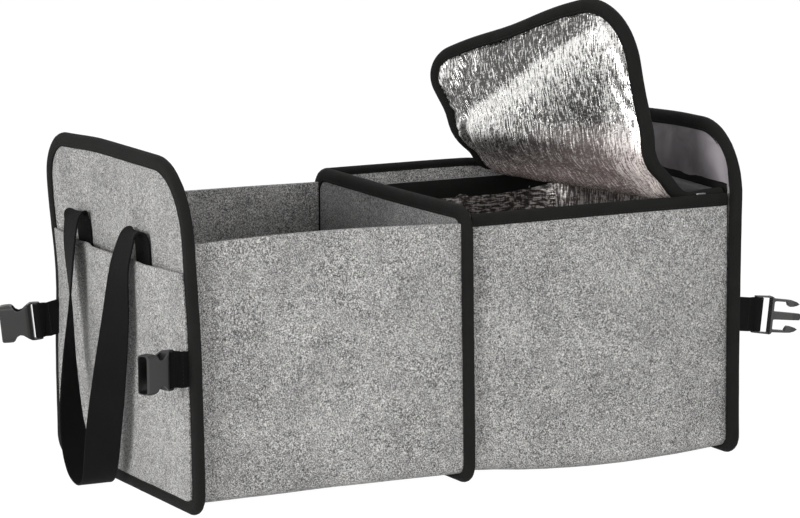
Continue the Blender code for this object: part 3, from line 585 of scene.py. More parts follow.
def lean_left(y, z):
    """How far the left panel's middle plane is off its solid's, at a point of the panel."""
    z = np.asarray(z)
    up = smooth((z - 0.13) / 0.16)
    front = 0.5 - 0.5 * np.asarray(y) / 0.15
    back = smooth(np.asarray(y) / 0.13)
    waist = 0.0036 * back * np.exp(-((z - 0.165) / 0.055) ** 2)
    return -0.0035 * up - 0.0035 * up * front + 0.0008 * np.sin(z * 21 + 1.0) + waist - 0.0018 * back * up


def lean_right(y, z):
    """The right panel leans out less, and more evenly."""
    up = smooth((np.asarray(z) - 0.17) / 0.12)
    return 0.0042 * up * (0.7 + 0.3 * np.cos(np.asarray(y) * 12)) - 0.0006 * np.sin(np.asarray(z) * 24)


def lean_divider(y, z):
    """The divider only bows a little at its top."""
    return 0.0010 * np.sin(np.asarray(y) * 17 + 0.6) * smooth(np.asarray(z) / 0.2)


print("walls, mm:", round(2000 * HALF_WALL), "panels, mm:", round(1000 * (left_high.z - left_low.z)))

# %% [markdown]
# ## Panels
#
# Each panel is a board with round corners. Its outline is one path that can be drawn in by any
# distance, so the felt, the tape on its edge and the stitches in the tape all share it. The felt
# itself is a grid whose rows narrow towards the corners.

# %% Outlines of the upright boards
TIGHTEST = 0.0004     # smallest radius of an outline that is drawn in
CORNER_STEPS = 14


def rounded_path(low, high, radii, inset, spacing):
    """Points round a rectangle with round corners, drawn in by an inset.

    Every inset gives as many points, so paths with different insets match point for point.
    """
    corners = [(low[0], low[1], 1, 1), (high[0], low[1], -1, 1),
               (high[0], high[1], -1, -1), (low[0], high[1], 1, -1)]

    def on_corner(k, degrees):
        (a, b, side_a, side_b), radius = corners[k], radii[k]
        inward = radius + max(inset - radius + TIGHTEST, 0.0)
        angle = math.radians(degrees)
        return (np.array([a + side_a * inward, b + side_b * inward])
                + max(radius - inset, TIGHTEST) * np.array([math.cos(angle), math.sin(angle)]))

    points = []
    for k in range(4):
        start, after = 180 + 90 * k, (k + 1) % 4
        points += [on_corner(k, start + 90 * step / CORNER_STEPS) for step in range(CORNER_STEPS + 1)]
        length = abs(corners[after][k % 2] - corners[k][k % 2]) - radii[k] - radii[after]
        count = max(int(length / spacing), 1)
        begin, end = points[-1], on_corner(after, start + 90)
        points += [begin + (end - begin) * step / count for step in range(1, count)]
    return np.array(points)


def corner_cut(radius, into):
    """How much a round corner takes off the width, some way into it."""
    return radius - math.sqrt(max(radius ** 2 - into ** 2, 0.0)) if into > 0 else 0.0


class Board:
    """An upright board's outline, in y and z, and where its middle plane is."""

    def __init__(self, low, high, radii, lean, crown):
        self.low, self.high = low, high
        self.radii = radii            # low front, low back, top back, top front
        self.lean = lean
        self.crown = crown            # top edge's rise, as a function of y
        self.middle = (low.x + high.x) / 2
        self.thick = high.x - low.x

    def path(self, inset):
        """Points round the edge, drawn in by an inset, and closed."""
        return self.crowned(rounded_path((self.low.y, self.low.z), (self.high.y, self.high.z),
                                         self.radii, inset, 0.009))

    def crowned(self, points):
        """Bends the top edge of points in y and z to the board's crown."""
        share = smooth((points[:, 1] - self.low.z) / (self.high.z - self.low.z))
        moved = points.copy()
        moved[:, 1] += share * np.array([self.crown(y) for y in points[:, 0]])
        return moved

    def grid(self, rows=46, columns=44, inset=0.002):
        """Rows of points over the whole board."""
        z0, z1 = self.low.z + inset, self.high.z - inset
        turns = (1 - np.cos(np.linspace(0, math.pi, rows))) / 2
        out = []
        for z in z0 + (z1 - z0) * turns:
            ends = []
            for side, low_corner, top_corner in ((-1, 0, 3), (1, 1, 2)):
                edge = (self.high.y if side > 0 else -self.low.y) - inset
                low_r, top_r = self.radii[low_corner] - inset, self.radii[top_corner] - inset
                ends.append(side * (edge - max(corner_cut(low_r, z0 + low_r - z),
                                               corner_cut(top_r, z - (z1 - top_r)))))
            out.append([(y, z) for y in np.linspace(ends[0], ends[1], columns)])
        flat = self.crowned(np.array(out).reshape(-1, 2))
        return flat.reshape(rows, columns, 2)

    def stand(self, flat, off=0.0):
        """Lifts points in y and z on to the board, some way off its middle plane."""
        y, z = flat[..., 0], flat[..., 1]
        x = self.middle + self.lean(y, z) + off
        return np.stack([x, y, z], axis=-1)


TOP_FRONT_RADIUS = 0.064
TOP_BACK_RADIUS = 0.042
LOW_RADIUS = 0.018
end_radii = (LOW_RADIUS, LOW_RADIUS, TOP_BACK_RADIUS, TOP_FRONT_RADIUS)
LEFT = Board(left_low, left_high, end_radii, lean_left,
             lambda y: 0.0010 - 0.0035 * smooth((y - 0.03) / 0.10))
RIGHT = Board(right_low, right_high, end_radii, lean_right,
              lambda y: 0.0 - 0.0030 * smooth((y + 0.06) / 0.10))
DIVIDER = Board(divider_low, divider_high, (0.0173, 0.0173, 0.022, 0.022), lean_divider,
                lambda y: -0.0006 * math.cos(y * 20))


def soft_bumps(grid, amount, scale, seed):
    """Pushes a grid of points in and out along its normals by slow noise."""
    push = np.array([ripple(p, scale, seed) for p in grid.reshape(-1, 3)]).reshape(grid.shape[:2])
    return grid + grid_normals(grid) * (amount * push)[..., None]


# The divider gets the darker felt copy, painted shade.
for name, board, node, cloth in (("left_felt_panel", LEFT, "end_panel_left", FELT),
                                 ("right_felt_panel", RIGHT, "end_panel_right", FELT),
                                 ("divider_felt_panel", DIVIDER, "divider_panel", FELT_PAINTED_SHADE)):
    bumpy = soft_bumps(board.stand(board.grid()), 0.0006, 16, 1.0)
    made = on_bag(sheet_piece(name, bumpy, board.thick, cloth), "grey_felt", node)
    print(name, "faces:", len(made.data.polygons))

# %% [markdown]
# ## Bound edges
#
# The tape is folded over the edge and sewn through, so its section is a fat hairpin: round at the
# edge, nearly flat over the lips and pinched where the thread goes through. The stitches are
# small separate strands, each about three millimetres long.

# %% Folded tape and stitches
STITCH_INSET = 0.0088
TAPE_GAP = 0.0004     # between a board's face and the tape's middle
SEAM_OFF = TAPE_GAP + 0.00105
# a strand's section: share of its length, share of its width, height in radii
STRAND = [(-0.5, 0.25, -0.9), (-0.28, 1.0, 0.1), (0.28, 1.0, 0.1), (0.5, 0.25, -0.9)]


def tape_section(board_half, lip, swell=1.0):
    """Inset and offset of the points of a folded tape's section, outside first."""
    out = board_half + TAPE_GAP
    outer = [(lip, out + 0.0002), (lip - 0.0004, out + 0.0009), (lip - 0.0014, out + 0.0013 * swell),
             (STITCH_INSET * lip / LIP, out + 0.0009), (lip * 0.66, out + 0.0015 * swell),
             (lip * 0.36, out + 0.0017 * swell), (lip * 0.14, out + 0.0014 * swell),
             (-0.0002, out + 0.0003), (-0.0010, out * 0.62), (-0.00135, 0.0)]
    inner = [(lip, out - 0.0001), (lip * 0.5, out - 0.0001), (0.0008, out * 0.7), (0.0004, 0.0)]
    half_out = outer + [(i, -o) for i, o in outer[-2::-1]]
    half_in = inner + [(i, -o) for i, o in inner[-2::-1]]
    return half_out + half_in[::-1]


def stitches(name, points, normals, finish, pitch=0.0042, length=0.0030, radius=0.00032):
    """Short strands along a path, each with pointed ends that dip into the cloth.

    The normals are one direction for all the points or one for each.
    """
    points = np.asarray(points, float)
    normals = unit(np.broadcast_to(np.asarray(normals, float), points.shape))
    steps = np.linalg.norm(np.diff(points, axis=0), axis=1)
    run = np.concatenate([[0], np.cumsum(steps)])
    places = np.arange(pitch / 2, run[-1] - length / 2, pitch)
    verts, faces = [], []
    for middle in places:
        rings = []
        for share, wide, lift in STRAND:
            at = middle + share * length
            spot = np.array([np.interp(at, run, points[:, a]) for a in range(3)])
            ahead = np.array([np.interp(at + 0.0006, run, points[:, a]) for a in range(3)]) - spot
            up = unit(np.array([np.interp(at, run, normals[:, a]) for a in range(3)]))
            ahead = unit(ahead + 1e-9)
            side = unit(np.cross(ahead, up))
            rings.append([spot + up * radius * (lift + wide * math.sin(t))
                          + side * radius * wide * math.cos(t)
                          for t in np.array([0.25, 0.75, 1.25, 1.75]) * math.pi])
        new_points, new_faces = sweep_mesh(rings, False, len(verts))
        verts.extend(new_points)
        faces.extend(new_faces)
    return piece(name, verts, faces, finish, 80)


def bind_board(name, board, node):
    """Tape and stitches round a whole board."""
    section = tape_section(board.thick / 2, LIP)
    paths = [board.path(inset) for inset, _ in section]
    rings = []
    for k in range(len(paths[0])):
        ring = []
        for path, (_, off) in zip(paths, section):
            spot = board.stand(path[k][None], off)[0]
            pucker = 0.00012 * math.sin(k * 2.1) + 0.0003 * ripple(spot, 70, 5.0)
            ring.append(spot + np.array([math.copysign(pucker, off) if off else 0.0, 0, 0]))
        rings.append(ring)
    made = on_bag(sweep_piece(name, rings, TAPE, closed=True), "black_binding", node)
    line = board.path(STITCH_INSET)
    line = np.concatenate([line, line[:1]])
    for word, side in (("out", -1), ("in", 1)):
        spots = board.stand(line, side * (board.thick / 2 + SEAM_OFF))
        on_bag(stitches(f"{name}_seam_{word}", spots, (side, 0, 0), THREAD), "black_binding")
    print(name, "faces:", len(made.data.polygons))


bind_board("left_tape", LEFT, "end_left_binding")
bind_board("right_tape", RIGHT, "end_right_binding")
bind_board("divider_tape", DIVIDER, "divider_binding")

# %% [markdown]
# ## Felt walls
#
# One long sheet of felt is the front, the base and the back of each compartment. It is a profile
# in y and z that is carried along x. The open compartment's walls stand almost flat, with a slow
# wave. The insulated one is filled with foam, so its walls swell a little and its base hangs down.

# %% Wall sheets
def wall_profile(bottom, front_top, back_top, steps=26, fold=0.010):
    """Middle line of the folded felt, from the front wall's top to the back wall's."""
    half = HALF_WALL - WALL_FELT / 2
    radius = fold - WALL_FELT / 2
    floor = bottom + WALL_FELT / 2
    points = [(-half, z) for z in np.linspace(front_top, floor + radius, steps)]
    points += [(-half + radius - radius * math.cos(t), floor + radius - radius * math.sin(t))
               for t in np.linspace(0, math.pi / 2, 7)[1:]]
    points += [(y, floor) for y in np.linspace(-half + radius, half - radius, steps)[1:-1]]
    points += [(half - radius + radius * math.sin(t), floor + radius - radius * math.cos(t))
               for t in np.linspace(0, math.pi / 2, 7)]
    points += [(half, z) for z in np.linspace(floor + radius, back_top, steps)[1:]]
    return np.array(points)


def storage_shape(y, z, share):
    """How far the open compartment's walls are off true at a point."""
    up = smooth(z / 0.2)
    front = -1.0 if y < 0 else 1.0
    wave = 0.0022 * math.sin(math.pi * share) * up + 0.0011 * math.sin(2.3 * math.pi * share + 0.7 + 5 * z)
    return front * (wave - 0.0012)


def cooler_shape(y, z, share):
    """How far the foam behind the felt swells it, with a few slow creases."""
    up = math.sin(math.pi * min(max(z / 0.225, 0), 1)) ** 0.7
    front = -1.0 if y < 0 else 1.0
    swell = 0.0058 * math.sin(math.pi * share) ** 0.6 * up
    crease = 0.0009 * math.sin(9 * share + 22 * z) * math.sin(math.pi * share)
    return front * (swell + crease)


def walls(low, high, bottom, tops, shape, columns=54):
    """The felt of one compartment. Tops gives the front and back heights along it."""
    rows = []
    for share in np.linspace(0, 1, columns):
        x = low.x + (high.x - low.x) * share
        front_top, back_top = tops(share)
        profile = wall_profile(bottom(share), front_top, back_top)
        row = []
        for y, z in profile:
            upright = smooth((abs(y) - (HALF_WALL - 0.012)) / 0.010)
            off = shape(y, z, share) * float(upright)
            off += 0.0006 * ripple((x, y, z), 30, 9.0)
            row.append((x, y + off, z + (1 - float(upright)) * 0.0008 * ripple((x, y, z), 20, 4.0)))
        rows.append(row)
    return np.array(rows)


def storage_tops(share):
    """Heights of the open compartment's front and back edges, which sag a little."""
    return 0.2251 + 0.0106 * share - 0.0124 * share ** 2, 0.2271 - 0.0022 * share


def cooler_tops(share):
    """The insulated one's edges are straight, but its back is raised towards the divider."""
    raised_back = 0.0050 * float(1 - smooth((share - 0.55) / 0.22))
    return 0.2300 + 0.0004 * math.sin(math.pi * share), 0.2312 + raised_back


def storage_bottom(share):
    return 0.0080 + 0.0004 * math.sin(math.pi * share)


def cooler_bottom(share):
    """The base hangs lowest near its middle, and is drawn up more towards the right."""
    return float(np.interp(share, np.linspace(0, 1, 11), [
        0.0098, 0.0078, 0.0049, 0.0028, 0.0016, 0.0011, 0.0011, 0.0016, 0.0026, 0.0041, 0.0060]))


storage_grid = walls(storage_low, storage_high, storage_bottom, storage_tops, storage_shape)
cooler_grid = walls(cooler_low, cooler_high, cooler_bottom, cooler_tops, cooler_shape)
for name, grid, node in (("storage_felt", storage_grid, "storage_walls"),
                         ("cooler_felt", cooler_grid, "cooler_walls")):
    made = on_bag(sheet_piece(name, grid, WALL_FELT, FELT), "grey_felt", node)
    print(name, "faces:", len(made.data.polygons))

# %% [markdown]
# The insulated walls have tape over their tops. It follows the wall's own top edge, so it is
# built from the first and last columns of the wall's grid.

# %% Rim tape
RIM_LIP = 0.0095


def bind_rim(name, edge, below, node, inner_lip=1.0):
    """Tape over one wall's top, from points on its edge and points just below them.

    The inner lip is the share of the outer one that the tape reaches down inside.
    """
    section = tape_section(WALL_FELT / 2, RIM_LIP)
    rings = []
    for spot, lower in zip(edge, below):
        down = unit(lower - spot)
        ring = []
        for inset, off in section:
            inset = inset * (inner_lip if off * lower[1] < 0 else 1.0)
            pucker = 0.00025 * ripple(spot, 60, 2.0 + inset * 100)
            ring.append(spot + down * inset + np.array([0, off + (pucker if off < 0 else -pucker), 0]))
        rings.append(ring)
    on_bag(sweep_piece(name, rings, TAPE), "black_binding", node)
    for word, face in (("front", -1), ("back", 1)):
        reach = inner_lip if face * below[0][1] < 0 else 1.0
        line = edge + unit(below - edge) * (STITCH_INSET * RIM_LIP / LIP * reach)
        spots = line + np.array([0, face * (WALL_FELT / 2 + SEAM_OFF), 0])
        on_bag(stitches(f"{name}_seam_{word}", spots, (0, face, 0), THREAD), "black_binding")


bind_rim("front_rim_tape", cooler_grid[:, 0], cooler_grid[:, 2], "cooler_front_rim_band")
bind_rim("back_rim_tape", cooler_grid[:, -1], cooler_grid[:, -3], "cooler_back_rim_band", 0.66)

# %% [markdown]
# ## Inside the insulated compartment
#
# The foil liner is a tub with round corners. Its walls are buckled by foam behind them, so the
# grid of the tub is pushed in and out by noise of two sizes before the foil's own creases are
# added by its material. A felt deck runs round the mouth, and the zip's black tape hangs from it.

# %% Tub, deck and zip tape
deck_low, deck_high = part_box("cooler_deck")
liner_low, liner_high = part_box("cooler_liner")
zip_low, zip_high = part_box("zip_tape_rim")
MOUTH_RADIUS = 0.045
HINGE_WALL = 0.0143   # how deep the wall under the hinge is, with its own crease direction
TUB_FLOOR = 44        # the ring where the tub's rounded edge meets its floor


def mouth(inset):
    """The liner's mouth in x and y, drawn in by an inset from the zip tape's outside."""
    return rounded_path(zip_low.xy, zip_high.xy, [MOUTH_RADIUS] * 4, inset, 0.006)


def tub():
    """A foil tub with a rounded floor edge, as rings from its rim down to its floor."""
    wall = mouth(-0.0002)
    centre = np.array([(zip_low.x + zip_high.x) / 2, 0.0])
    levels = np.linspace(liner_high.z, liner_low.z + 0.012, 40)
    rings = []
    for z in levels:
        ring = []
        for x, y in wall:
            inward = unit(centre - np.array([x, y]))
            crush = 0.0012 * ripple((x, y, z), 55, 3.0) + 0.0007 * abs(ripple((x, y, z * 0.5), 170, 8.0))
            crush *= 1 if z < zip_low.z + 0.012 else 0.2
            ring.append((*(np.array([x, y]) + inward * (0.0008 + crush)), z))
        if z == levels[0]:
            ring = [(x, y, z + 0.0030 * float(smooth((x - zip_high.x + 0.020) / 0.012)))
                    for x, y, z in ring]
        rings.append(ring)
    for k in range(1, 6):
        turn = math.pi / 2 * k / 5
        ring = []
        for x, y in wall:
            inward = unit(centre - np.array([x, y]))
            spot = np.array([x, y]) + inward * (0.0008 + 0.010 * (1 - math.cos(turn)))
            ring.append((*spot, liner_low.z + 0.0012 + 0.0108 * (1 - math.sin(turn))))
        rings.append(ring)
    for share in (0.80, 0.6, 0.4, 0.2, 0.03):
        ring = []
        for x, y, _ in rings[TUB_FLOOR]:
            spot = centre + (np.array([x, y]) - centre) * share
            ring.append((*spot, liner_low.z + 0.0014 + 0.0009 * abs(ripple((*spot, 0), 50, 6.0))))
        rings.append(ring)
    return np.array(rings)


def closed_shell(name, rings, thickness, finish):
    """Rings that go down into a tub, given a thickness away from its inside."""
    rows, count, _ = rings.shape
    looped = np.concatenate([rings[:, -1:], rings, rings[:, :1]], axis=1)
    behind = rings + grid_normals(looped)[:, 1:-1] * thickness
    points = np.concatenate([rings.reshape(-1, 3), behind.reshape(-1, 3)])
    faces = []
    total = rows * count
    for r in range(rows - 1):
        for c in range(count):
            n = (c + 1) % count
            quad = (r * count + c, r * count + n, (r + 1) * count + n, (r + 1) * count + c)
            faces.append(quad)
            faces.append(tuple(total + i for i in quad[::-1]))
    for c in range(count):
        n = (c + 1) % count
        faces.append((c, n, total + n, total + c))
    last = (rows - 1) * count
    faces.append(tuple(last + c for c in range(count)))
    faces.append(tuple(total + last + c for c in range(count)))
    return piece(name, points, faces, finish, 70)


liner = closed_shell("foil_tub", tub(), 0.0006, FOIL_LINER)
liner.data.materials.append(FOIL_HINGE_WALL)
for polygon in liner.data.polygons:
    if polygon.center.x > zip_high.x - HINGE_WALL:
        polygon.material_index = 1
on_bag(liner, "foil", "cooler_liner")


def raised(outline, z, wave=0.0, seed=0.0):
    """A flat outline lifted to a height, with a slow wave if asked."""
    return np.array([(x, y, z + wave * ripple((x, y, 0), 30, seed)) for x, y in outline])


inner_mouth = mouth(-0.0003)


def well():
    """The deck's outer edge, one point for each point of the mouth, out to the walls."""
    centre = np.array([(deck_low.x + deck_high.x) / 2, 0.0])
    half = np.array([(deck_high.x - deck_low.x) / 2 - 0.0004, deck_high.y - 0.0010])
    out = []
    for x, y in inner_mouth:
        away = np.array([x, y]) - centre
        out.append(centre + away / np.max(np.abs(away) / half))
    return np.array(out)


outer_well = well()
middle_ring = (inner_mouth + outer_well) / 2
deck_rings = np.stack([
    raised(outer_well, deck_low.z), raised(outer_well, deck_high.z, 0.0004, 1.0),
    raised(middle_ring, deck_high.z + 0.0003, 0.0006, 2.0), raised(inner_mouth, deck_high.z - 0.0002),
    raised(inner_mouth, deck_low.z), raised(middle_ring, deck_low.z)], axis=1)
# The deck's felt is the darker copy, painted shade for the inside of the mouth.
on_bag(sweep_piece("cooler_deck_felt", deck_rings, FELT_PAINTED_SHADE, closed=True), "grey_felt", "cooler_deck")
ZIP_END = zip_high.x - 0.009


def three_sides(outline):
    """The part of the mouth's path that leaves out the hinge side, in one open run."""
    inside = np.nonzero(mouth(0.0)[:, 0] < ZIP_END)[0]
    gap = int(np.argmax(np.diff(inside)))
    order = np.concatenate([inside[gap + 1:], inside[:gap + 1]])
    return np.asarray(outline)[order]


def tape_edge(x):
    """The zip tape's lower edge rises where the tape runs out towards the hinge."""
    return (zip_low.z + 0.0030 * float(smooth((x - 0.17) / 0.04))
            + 0.0055 * float(smooth((x - 0.205) / 0.028)))


def zip_ring(inset, share, wave, seed):
    """One line along the zip tape, a share of the way from its lower edge to its top."""
    rows = []
    for x, y in mouth(inset):
        low, high = tape_edge(x), zip_high.z - 0.0012
        rows.append((x, y, low + (high - low) * share + wave * ripple((x, y, 0), 30, seed)))
    return three_sides(rows)


zip_rings = np.stack([zip_ring(*row) for row in (
    (0.0, 0.0, 0.0006, 3.0), (0.0, 0.96, 0.0002, 4.0), (0.0005, 1.0, 0.0, 4.0),
    (0.0010, 0.97, 0.0002, 4.0), (0.0014, 0.5, 0.0004, 5.0), (0.0011, 0.0, 0.0006, 3.0))], axis=1)
on_bag(sweep_piece("zip_tape", zip_rings, TAPE), "black_binding", "zip_tape_rim")


def coil_teeth(name, points, normals):
    """A zip's coil: one small loop for each tooth along the tape's edge."""
    return stitches(name, points, normals, COIL, pitch=0.0017, length=0.00125, radius=0.00062)


coil_path = three_sides(raised(mouth(-0.0002), zip_high.z - 0.0027))
coil = on_bag(coil_teeth("zip_coil_rim", coil_path, (0, 0, 1)), "black_binding")
SEAM_ANGLE = math.radians(47)
corner = (np.array([zip_high.x, zip_high.y]) - MOUTH_RADIUS
          + (MOUTH_RADIUS - 0.0022) * np.array([math.cos(SEAM_ANGLE), math.sin(SEAM_ANGLE)]))
seam_line = [(*corner, z) for z in np.linspace(0.2165, 0.150, 40)]
on_bag(stitches("foil_seam", seam_line, (-0.7, -0.7, 0.0), THREAD, pitch=0.0040, length=0.0032,
                radius=0.0004), "foil")
print("tub faces:", len(liner.data.polygons), "coil faces:", len(coil.data.polygons))

# %% [markdown]
# ## The lid
#
# The lid is a thin pad: felt outside, foil inside, tape round its edge. It is easiest to make
# closed and flat, where its outline is a plain rounded shape, and then to open it with the same
# two turns that the joints make, spread smoothly over the cloth. The pad is a closed bag of cloth
# with a little air in it: a short cloth simulation pins its sewn edge and lets its faces swell.

# %% The lid's shape, closed and open
SEAM_X = 0.25645
LID_TOP = 0.2407
LID_MIDDLE = LID_TOP - 0.0040
LID_SKEW = math.radians(-13.8)
FOLD_TURN = math.radians(44.35)
FOLD_PITCH = 0.0376
FIRST_FOLD = np.array([0.18995, 0.0, LID_TOP])
TOWARDS_FREE = np.array([-math.cos(LID_SKEW), math.sin(LID_SKEW), 0.0])
FOLD_AXIS = np.array([math.sin(LID_SKEW), math.cos(LID_SKEW), 0.0])
SECOND_FOLD = FIRST_FOLD + FOLD_PITCH * TOWARDS_FREE
HALF_LID = 0.139
LID_REACH = 0.2187
CORNER_FRONT, CORNER_BACK = 0.0624, 0.0327
SEAM_GAP = 0.001      # between the seam and the lid's first row


def turn_about(points, pivot, angles):
    """Turns each point by its own angle about the fold's direction through a pivot."""
    away = points - pivot
    cosine, sine = np.cos(angles)[:, None], np.sin(angles)[:, None]
    return (pivot + away * cosine + np.cross(FOLD_AXIS, away) * sine
            + FOLD_AXIS * (away @ FOLD_AXIS)[:, None] * (1 - cosine))


def open_up(points):
    """Closed lid to open lid: each point turns about both folds by its share."""
    points = np.asarray(points, float)
    reach = (points[:, :2] - FIRST_FOLD[:2]) @ TOWARDS_FREE[:2]
    half = FOLD_PITCH / 2
    turned = turn_about(points, SECOND_FOLD, FOLD_TURN * smooth((reach - half) / FOLD_PITCH))
    return turn_about(turned, FIRST_FOLD, FOLD_TURN * smooth((reach + half) / FOLD_PITCH))


def lid_place(along, across, off):
    """A point of the closed lid from its distance from the seam, its place across and its height.

    The slack of the real lid is here: its free end curls, its back edge is drawn in and its
    bend bulges downwards.
    """
    w = across / HALF_LID
    far = np.clip((along - 0.085) / 0.145, 0, 1)
    waist = np.exp(-((along - 0.128) / np.where(along < 0.128, 0.046, 0.062)) ** 2)
    y = across + np.where(w < 0, 0.0060, -0.0188) * waist * np.abs(w)
    curl = (far ** 2 * (-0.0140 - 0.0327 * w - 0.0361 * w ** 2)
            + far ** 3 * (0.0177 + 0.0185 * w + 0.0154 * w ** 2 - 0.0011 * w ** 3)
            + far * (0.0123 * w + 0.0133 * w ** 2))
    dip = 0.0048 * far ** 2 * np.exp(-((w - 0.16) / 0.36) ** 2)
    x = SEAM_X - (along - 0.0071 * w * far - 0.0103 * w ** 2 * far - dip)
    reach = (x - FIRST_FOLD[0]) * TOWARDS_FREE[0] + y * TOWARDS_FREE[1]
    bulge = np.exp(-((reach - 0.0103) / 0.034) ** 2)
    root = np.exp(-(np.maximum(along, 0.0) / 0.036) ** 2) * (0.62 - 0.38 * w)
    z = LID_MIDDLE + off + curl - bulge * (0.0060 - 0.0005 * w) - 0.0052 * root
    drawn_in = np.exp(-((reach - 0.0103) / 0.060) ** 2)
    return np.stack([x, y * (1 - 0.030 * drawn_in * np.abs(w)), z], axis=-1)


def lid_outline(inset):
    """The closed lid's edge from the seam's front end round to its back end."""
    side, reach = HALF_LID - inset, LID_REACH - inset
    front_r, back_r = CORNER_FRONT - inset, CORNER_BACK - inset
    turns = np.linspace(0, math.pi / 2, 18)[1:]
    points = [(s, -side) for s in np.linspace(SEAM_GAP, reach - front_r, 31)]
    points += [(reach - front_r + front_r * math.sin(t), front_r - side - front_r * math.cos(t))
               for t in turns]
    points += [(reach, w) for w in np.linspace(front_r - side, side - back_r, 36)[1:]]
    points += [(reach - back_r + back_r * math.cos(t), side - back_r + back_r * math.sin(t))
               for t in turns]
    points += [(s, side) for s in np.linspace(reach - back_r, SEAM_GAP, 36)[1:]]
    return np.array(points)


free_edge = open_up(lid_place(np.array([0.21, 0.21]), np.array([-0.1, 0.1]), 0.0))
print("open lid's free edge:", np.round(free_edge, 3).tolist())

# %% [markdown]
# The pad's grid has rows across the lid whose ends follow the outline. Its upper side becomes
# felt and its lower side foil. Under the tape the pad is thin, and in the middle it is full. The
# simulation pins the cloth within 12 mm of the sewn edge and blows its faces up with a little
# pressure for 20 frames; the result is kept as plain geometry.

# %% The lid's pad
PAD_HALF = 0.0026
PAD_INSET = 0.0012
SEWN_WIDTH = 0.012    # edge that the cloth simulation holds still
MOST_SWELL = 0.0045
CLOTH_FRAMES = 20


def pad_flat(rows=72, columns=70):
    """Distance from the seam and place across for each point of the pad."""
    reach = LID_REACH - PAD_INSET
    half = HALF_LID - PAD_INSET
    turns = np.linspace(0, 1, rows)
    out = []
    for s in SEAM_GAP + (reach - SEAM_GAP) * np.sin(turns * math.pi / 2) ** 0.9:
        ends = []
        for sign, radius in ((-1, CORNER_FRONT - PAD_INSET), (1, CORNER_BACK - PAD_INSET)):
            ends.append(sign * (half - corner_cut(radius, s - (reach - radius))))
        out.append([(s, w) for w in np.linspace(ends[0], ends[1], columns)])
    return np.array(out)


def pad_mesh(flat):
    """The pad as a closed mesh, drawn flat: along, across and thickness are its coordinates."""
    rows, columns, _ = flat.shape
    grid = np.concatenate([flat, np.zeros((rows, columns, 1))], axis=2)
    return sheet_mesh(grid, 2 * PAD_HALF, 0.6)


def room_inside(points):
    """How far each point is inside the lid's sides and free edge."""
    return np.minimum(HALF_LID - np.abs(points[:, 1]), LID_REACH - points[:, 0])


def swell(points, faces):
    """Lets the pad's faces swell between their sewn edges, by a short cloth simulation."""
    mesh = bpy.data.meshes.new("pad_cloth")
    mesh.from_pydata([tuple(p) for p in points], [], faces)
    work = bmesh.new()
    work.from_mesh(mesh)
    bmesh.ops.recalc_face_normals(work, faces=work.faces)
    work.to_mesh(mesh)
    work.free()
    cloth_object = add_object("pad_cloth", mesh)
    edge = np.minimum(room_inside(points), points[:, 0])
    group = cloth_object.vertex_groups.new(name="sewn")
    for index in np.nonzero(edge < SEWN_WIDTH)[0]:
        group.add([int(index)], 1.0, "REPLACE")
    step = cloth_object.modifiers.new("cloth", "CLOTH")
    for key, value in (("vertex_group_mass", "sewn"), ("use_pressure", True),
                       ("uniform_pressure_force", 4.0), ("shrink_min", -0.03), ("bending_stiffness", 0.02),
                       ("tension_stiffness", 25), ("compression_stiffness", 25), ("quality", 6)):
        setattr(step.settings, key, value)
    step.settings.effector_weights.gravity = 0.0
    step.point_cache.frame_start, step.point_cache.frame_end = 1, CLOTH_FRAMES
    for number in range(1, CLOTH_FRAMES + 1):
        bpy.context.scene.frame_set(number)
    ready = cloth_object.evaluated_get(bpy.context.evaluated_depsgraph_get())
    moved = np.array([v.co for v in ready.data.vertices])
    bpy.data.objects.remove(cloth_object)
    bpy.context.scene.frame_set(1)
    push = moved - points
    size = np.maximum(np.linalg.norm(push, axis=1), 1e-9)
    return points + push * np.minimum(1.0, MOST_SWELL / size)[:, None]


pad_points, pad_faces = pad_mesh(pad_flat())
edge_room = np.minimum(room_inside(pad_points), 0.05)
swollen = swell(pad_points, pad_faces)
most = float(np.linalg.norm(swollen - pad_points, axis=1).max())
print("pad swelled by at most, mm:", round(1000 * most, 2))


def foil_buckle(points):
    """Ridges pressed into the foil: long ones along the lid, and short cross creases."""
    s, w, off = points[:, 0], points[:, 1], points[:, 2]
    depth = np.zeros(len(points))
    for k in np.nonzero(np.abs(off) >= 1e-5)[0]:
        slow = ripple((s[k], w[k], 0.0), 34, 7.0)
        if off[k] > 0:
            depth[k] = 0.0005 * slow
            continue
        long_ridge = ripple((s[k] * 0.28, w[k], 0.0), 190, 11.0)
        cross = ripple((s[k], w[k] * 0.4, 0.0), 150, 2.0)
        depth[k] = 0.00055 * long_ridge + 0.0012 * slow + 0.0003 * cross
    room = smooth((edge_room - 0.009) / 0.012)
    moved = points.copy()
    moved[:, 2] += depth * room
    return moved


swollen = foil_buckle(swollen)

# %% [markdown]
# A piece that crosses both folds can't follow two joints at once, so each piece of the lid is cut
# in two along a line half way between the folds. Both halves are opened with the same turns, so
# they stay together at the cut.

# %% Cutting and opening the lid's pieces
CUT_AT = FOLD_PITCH / 2


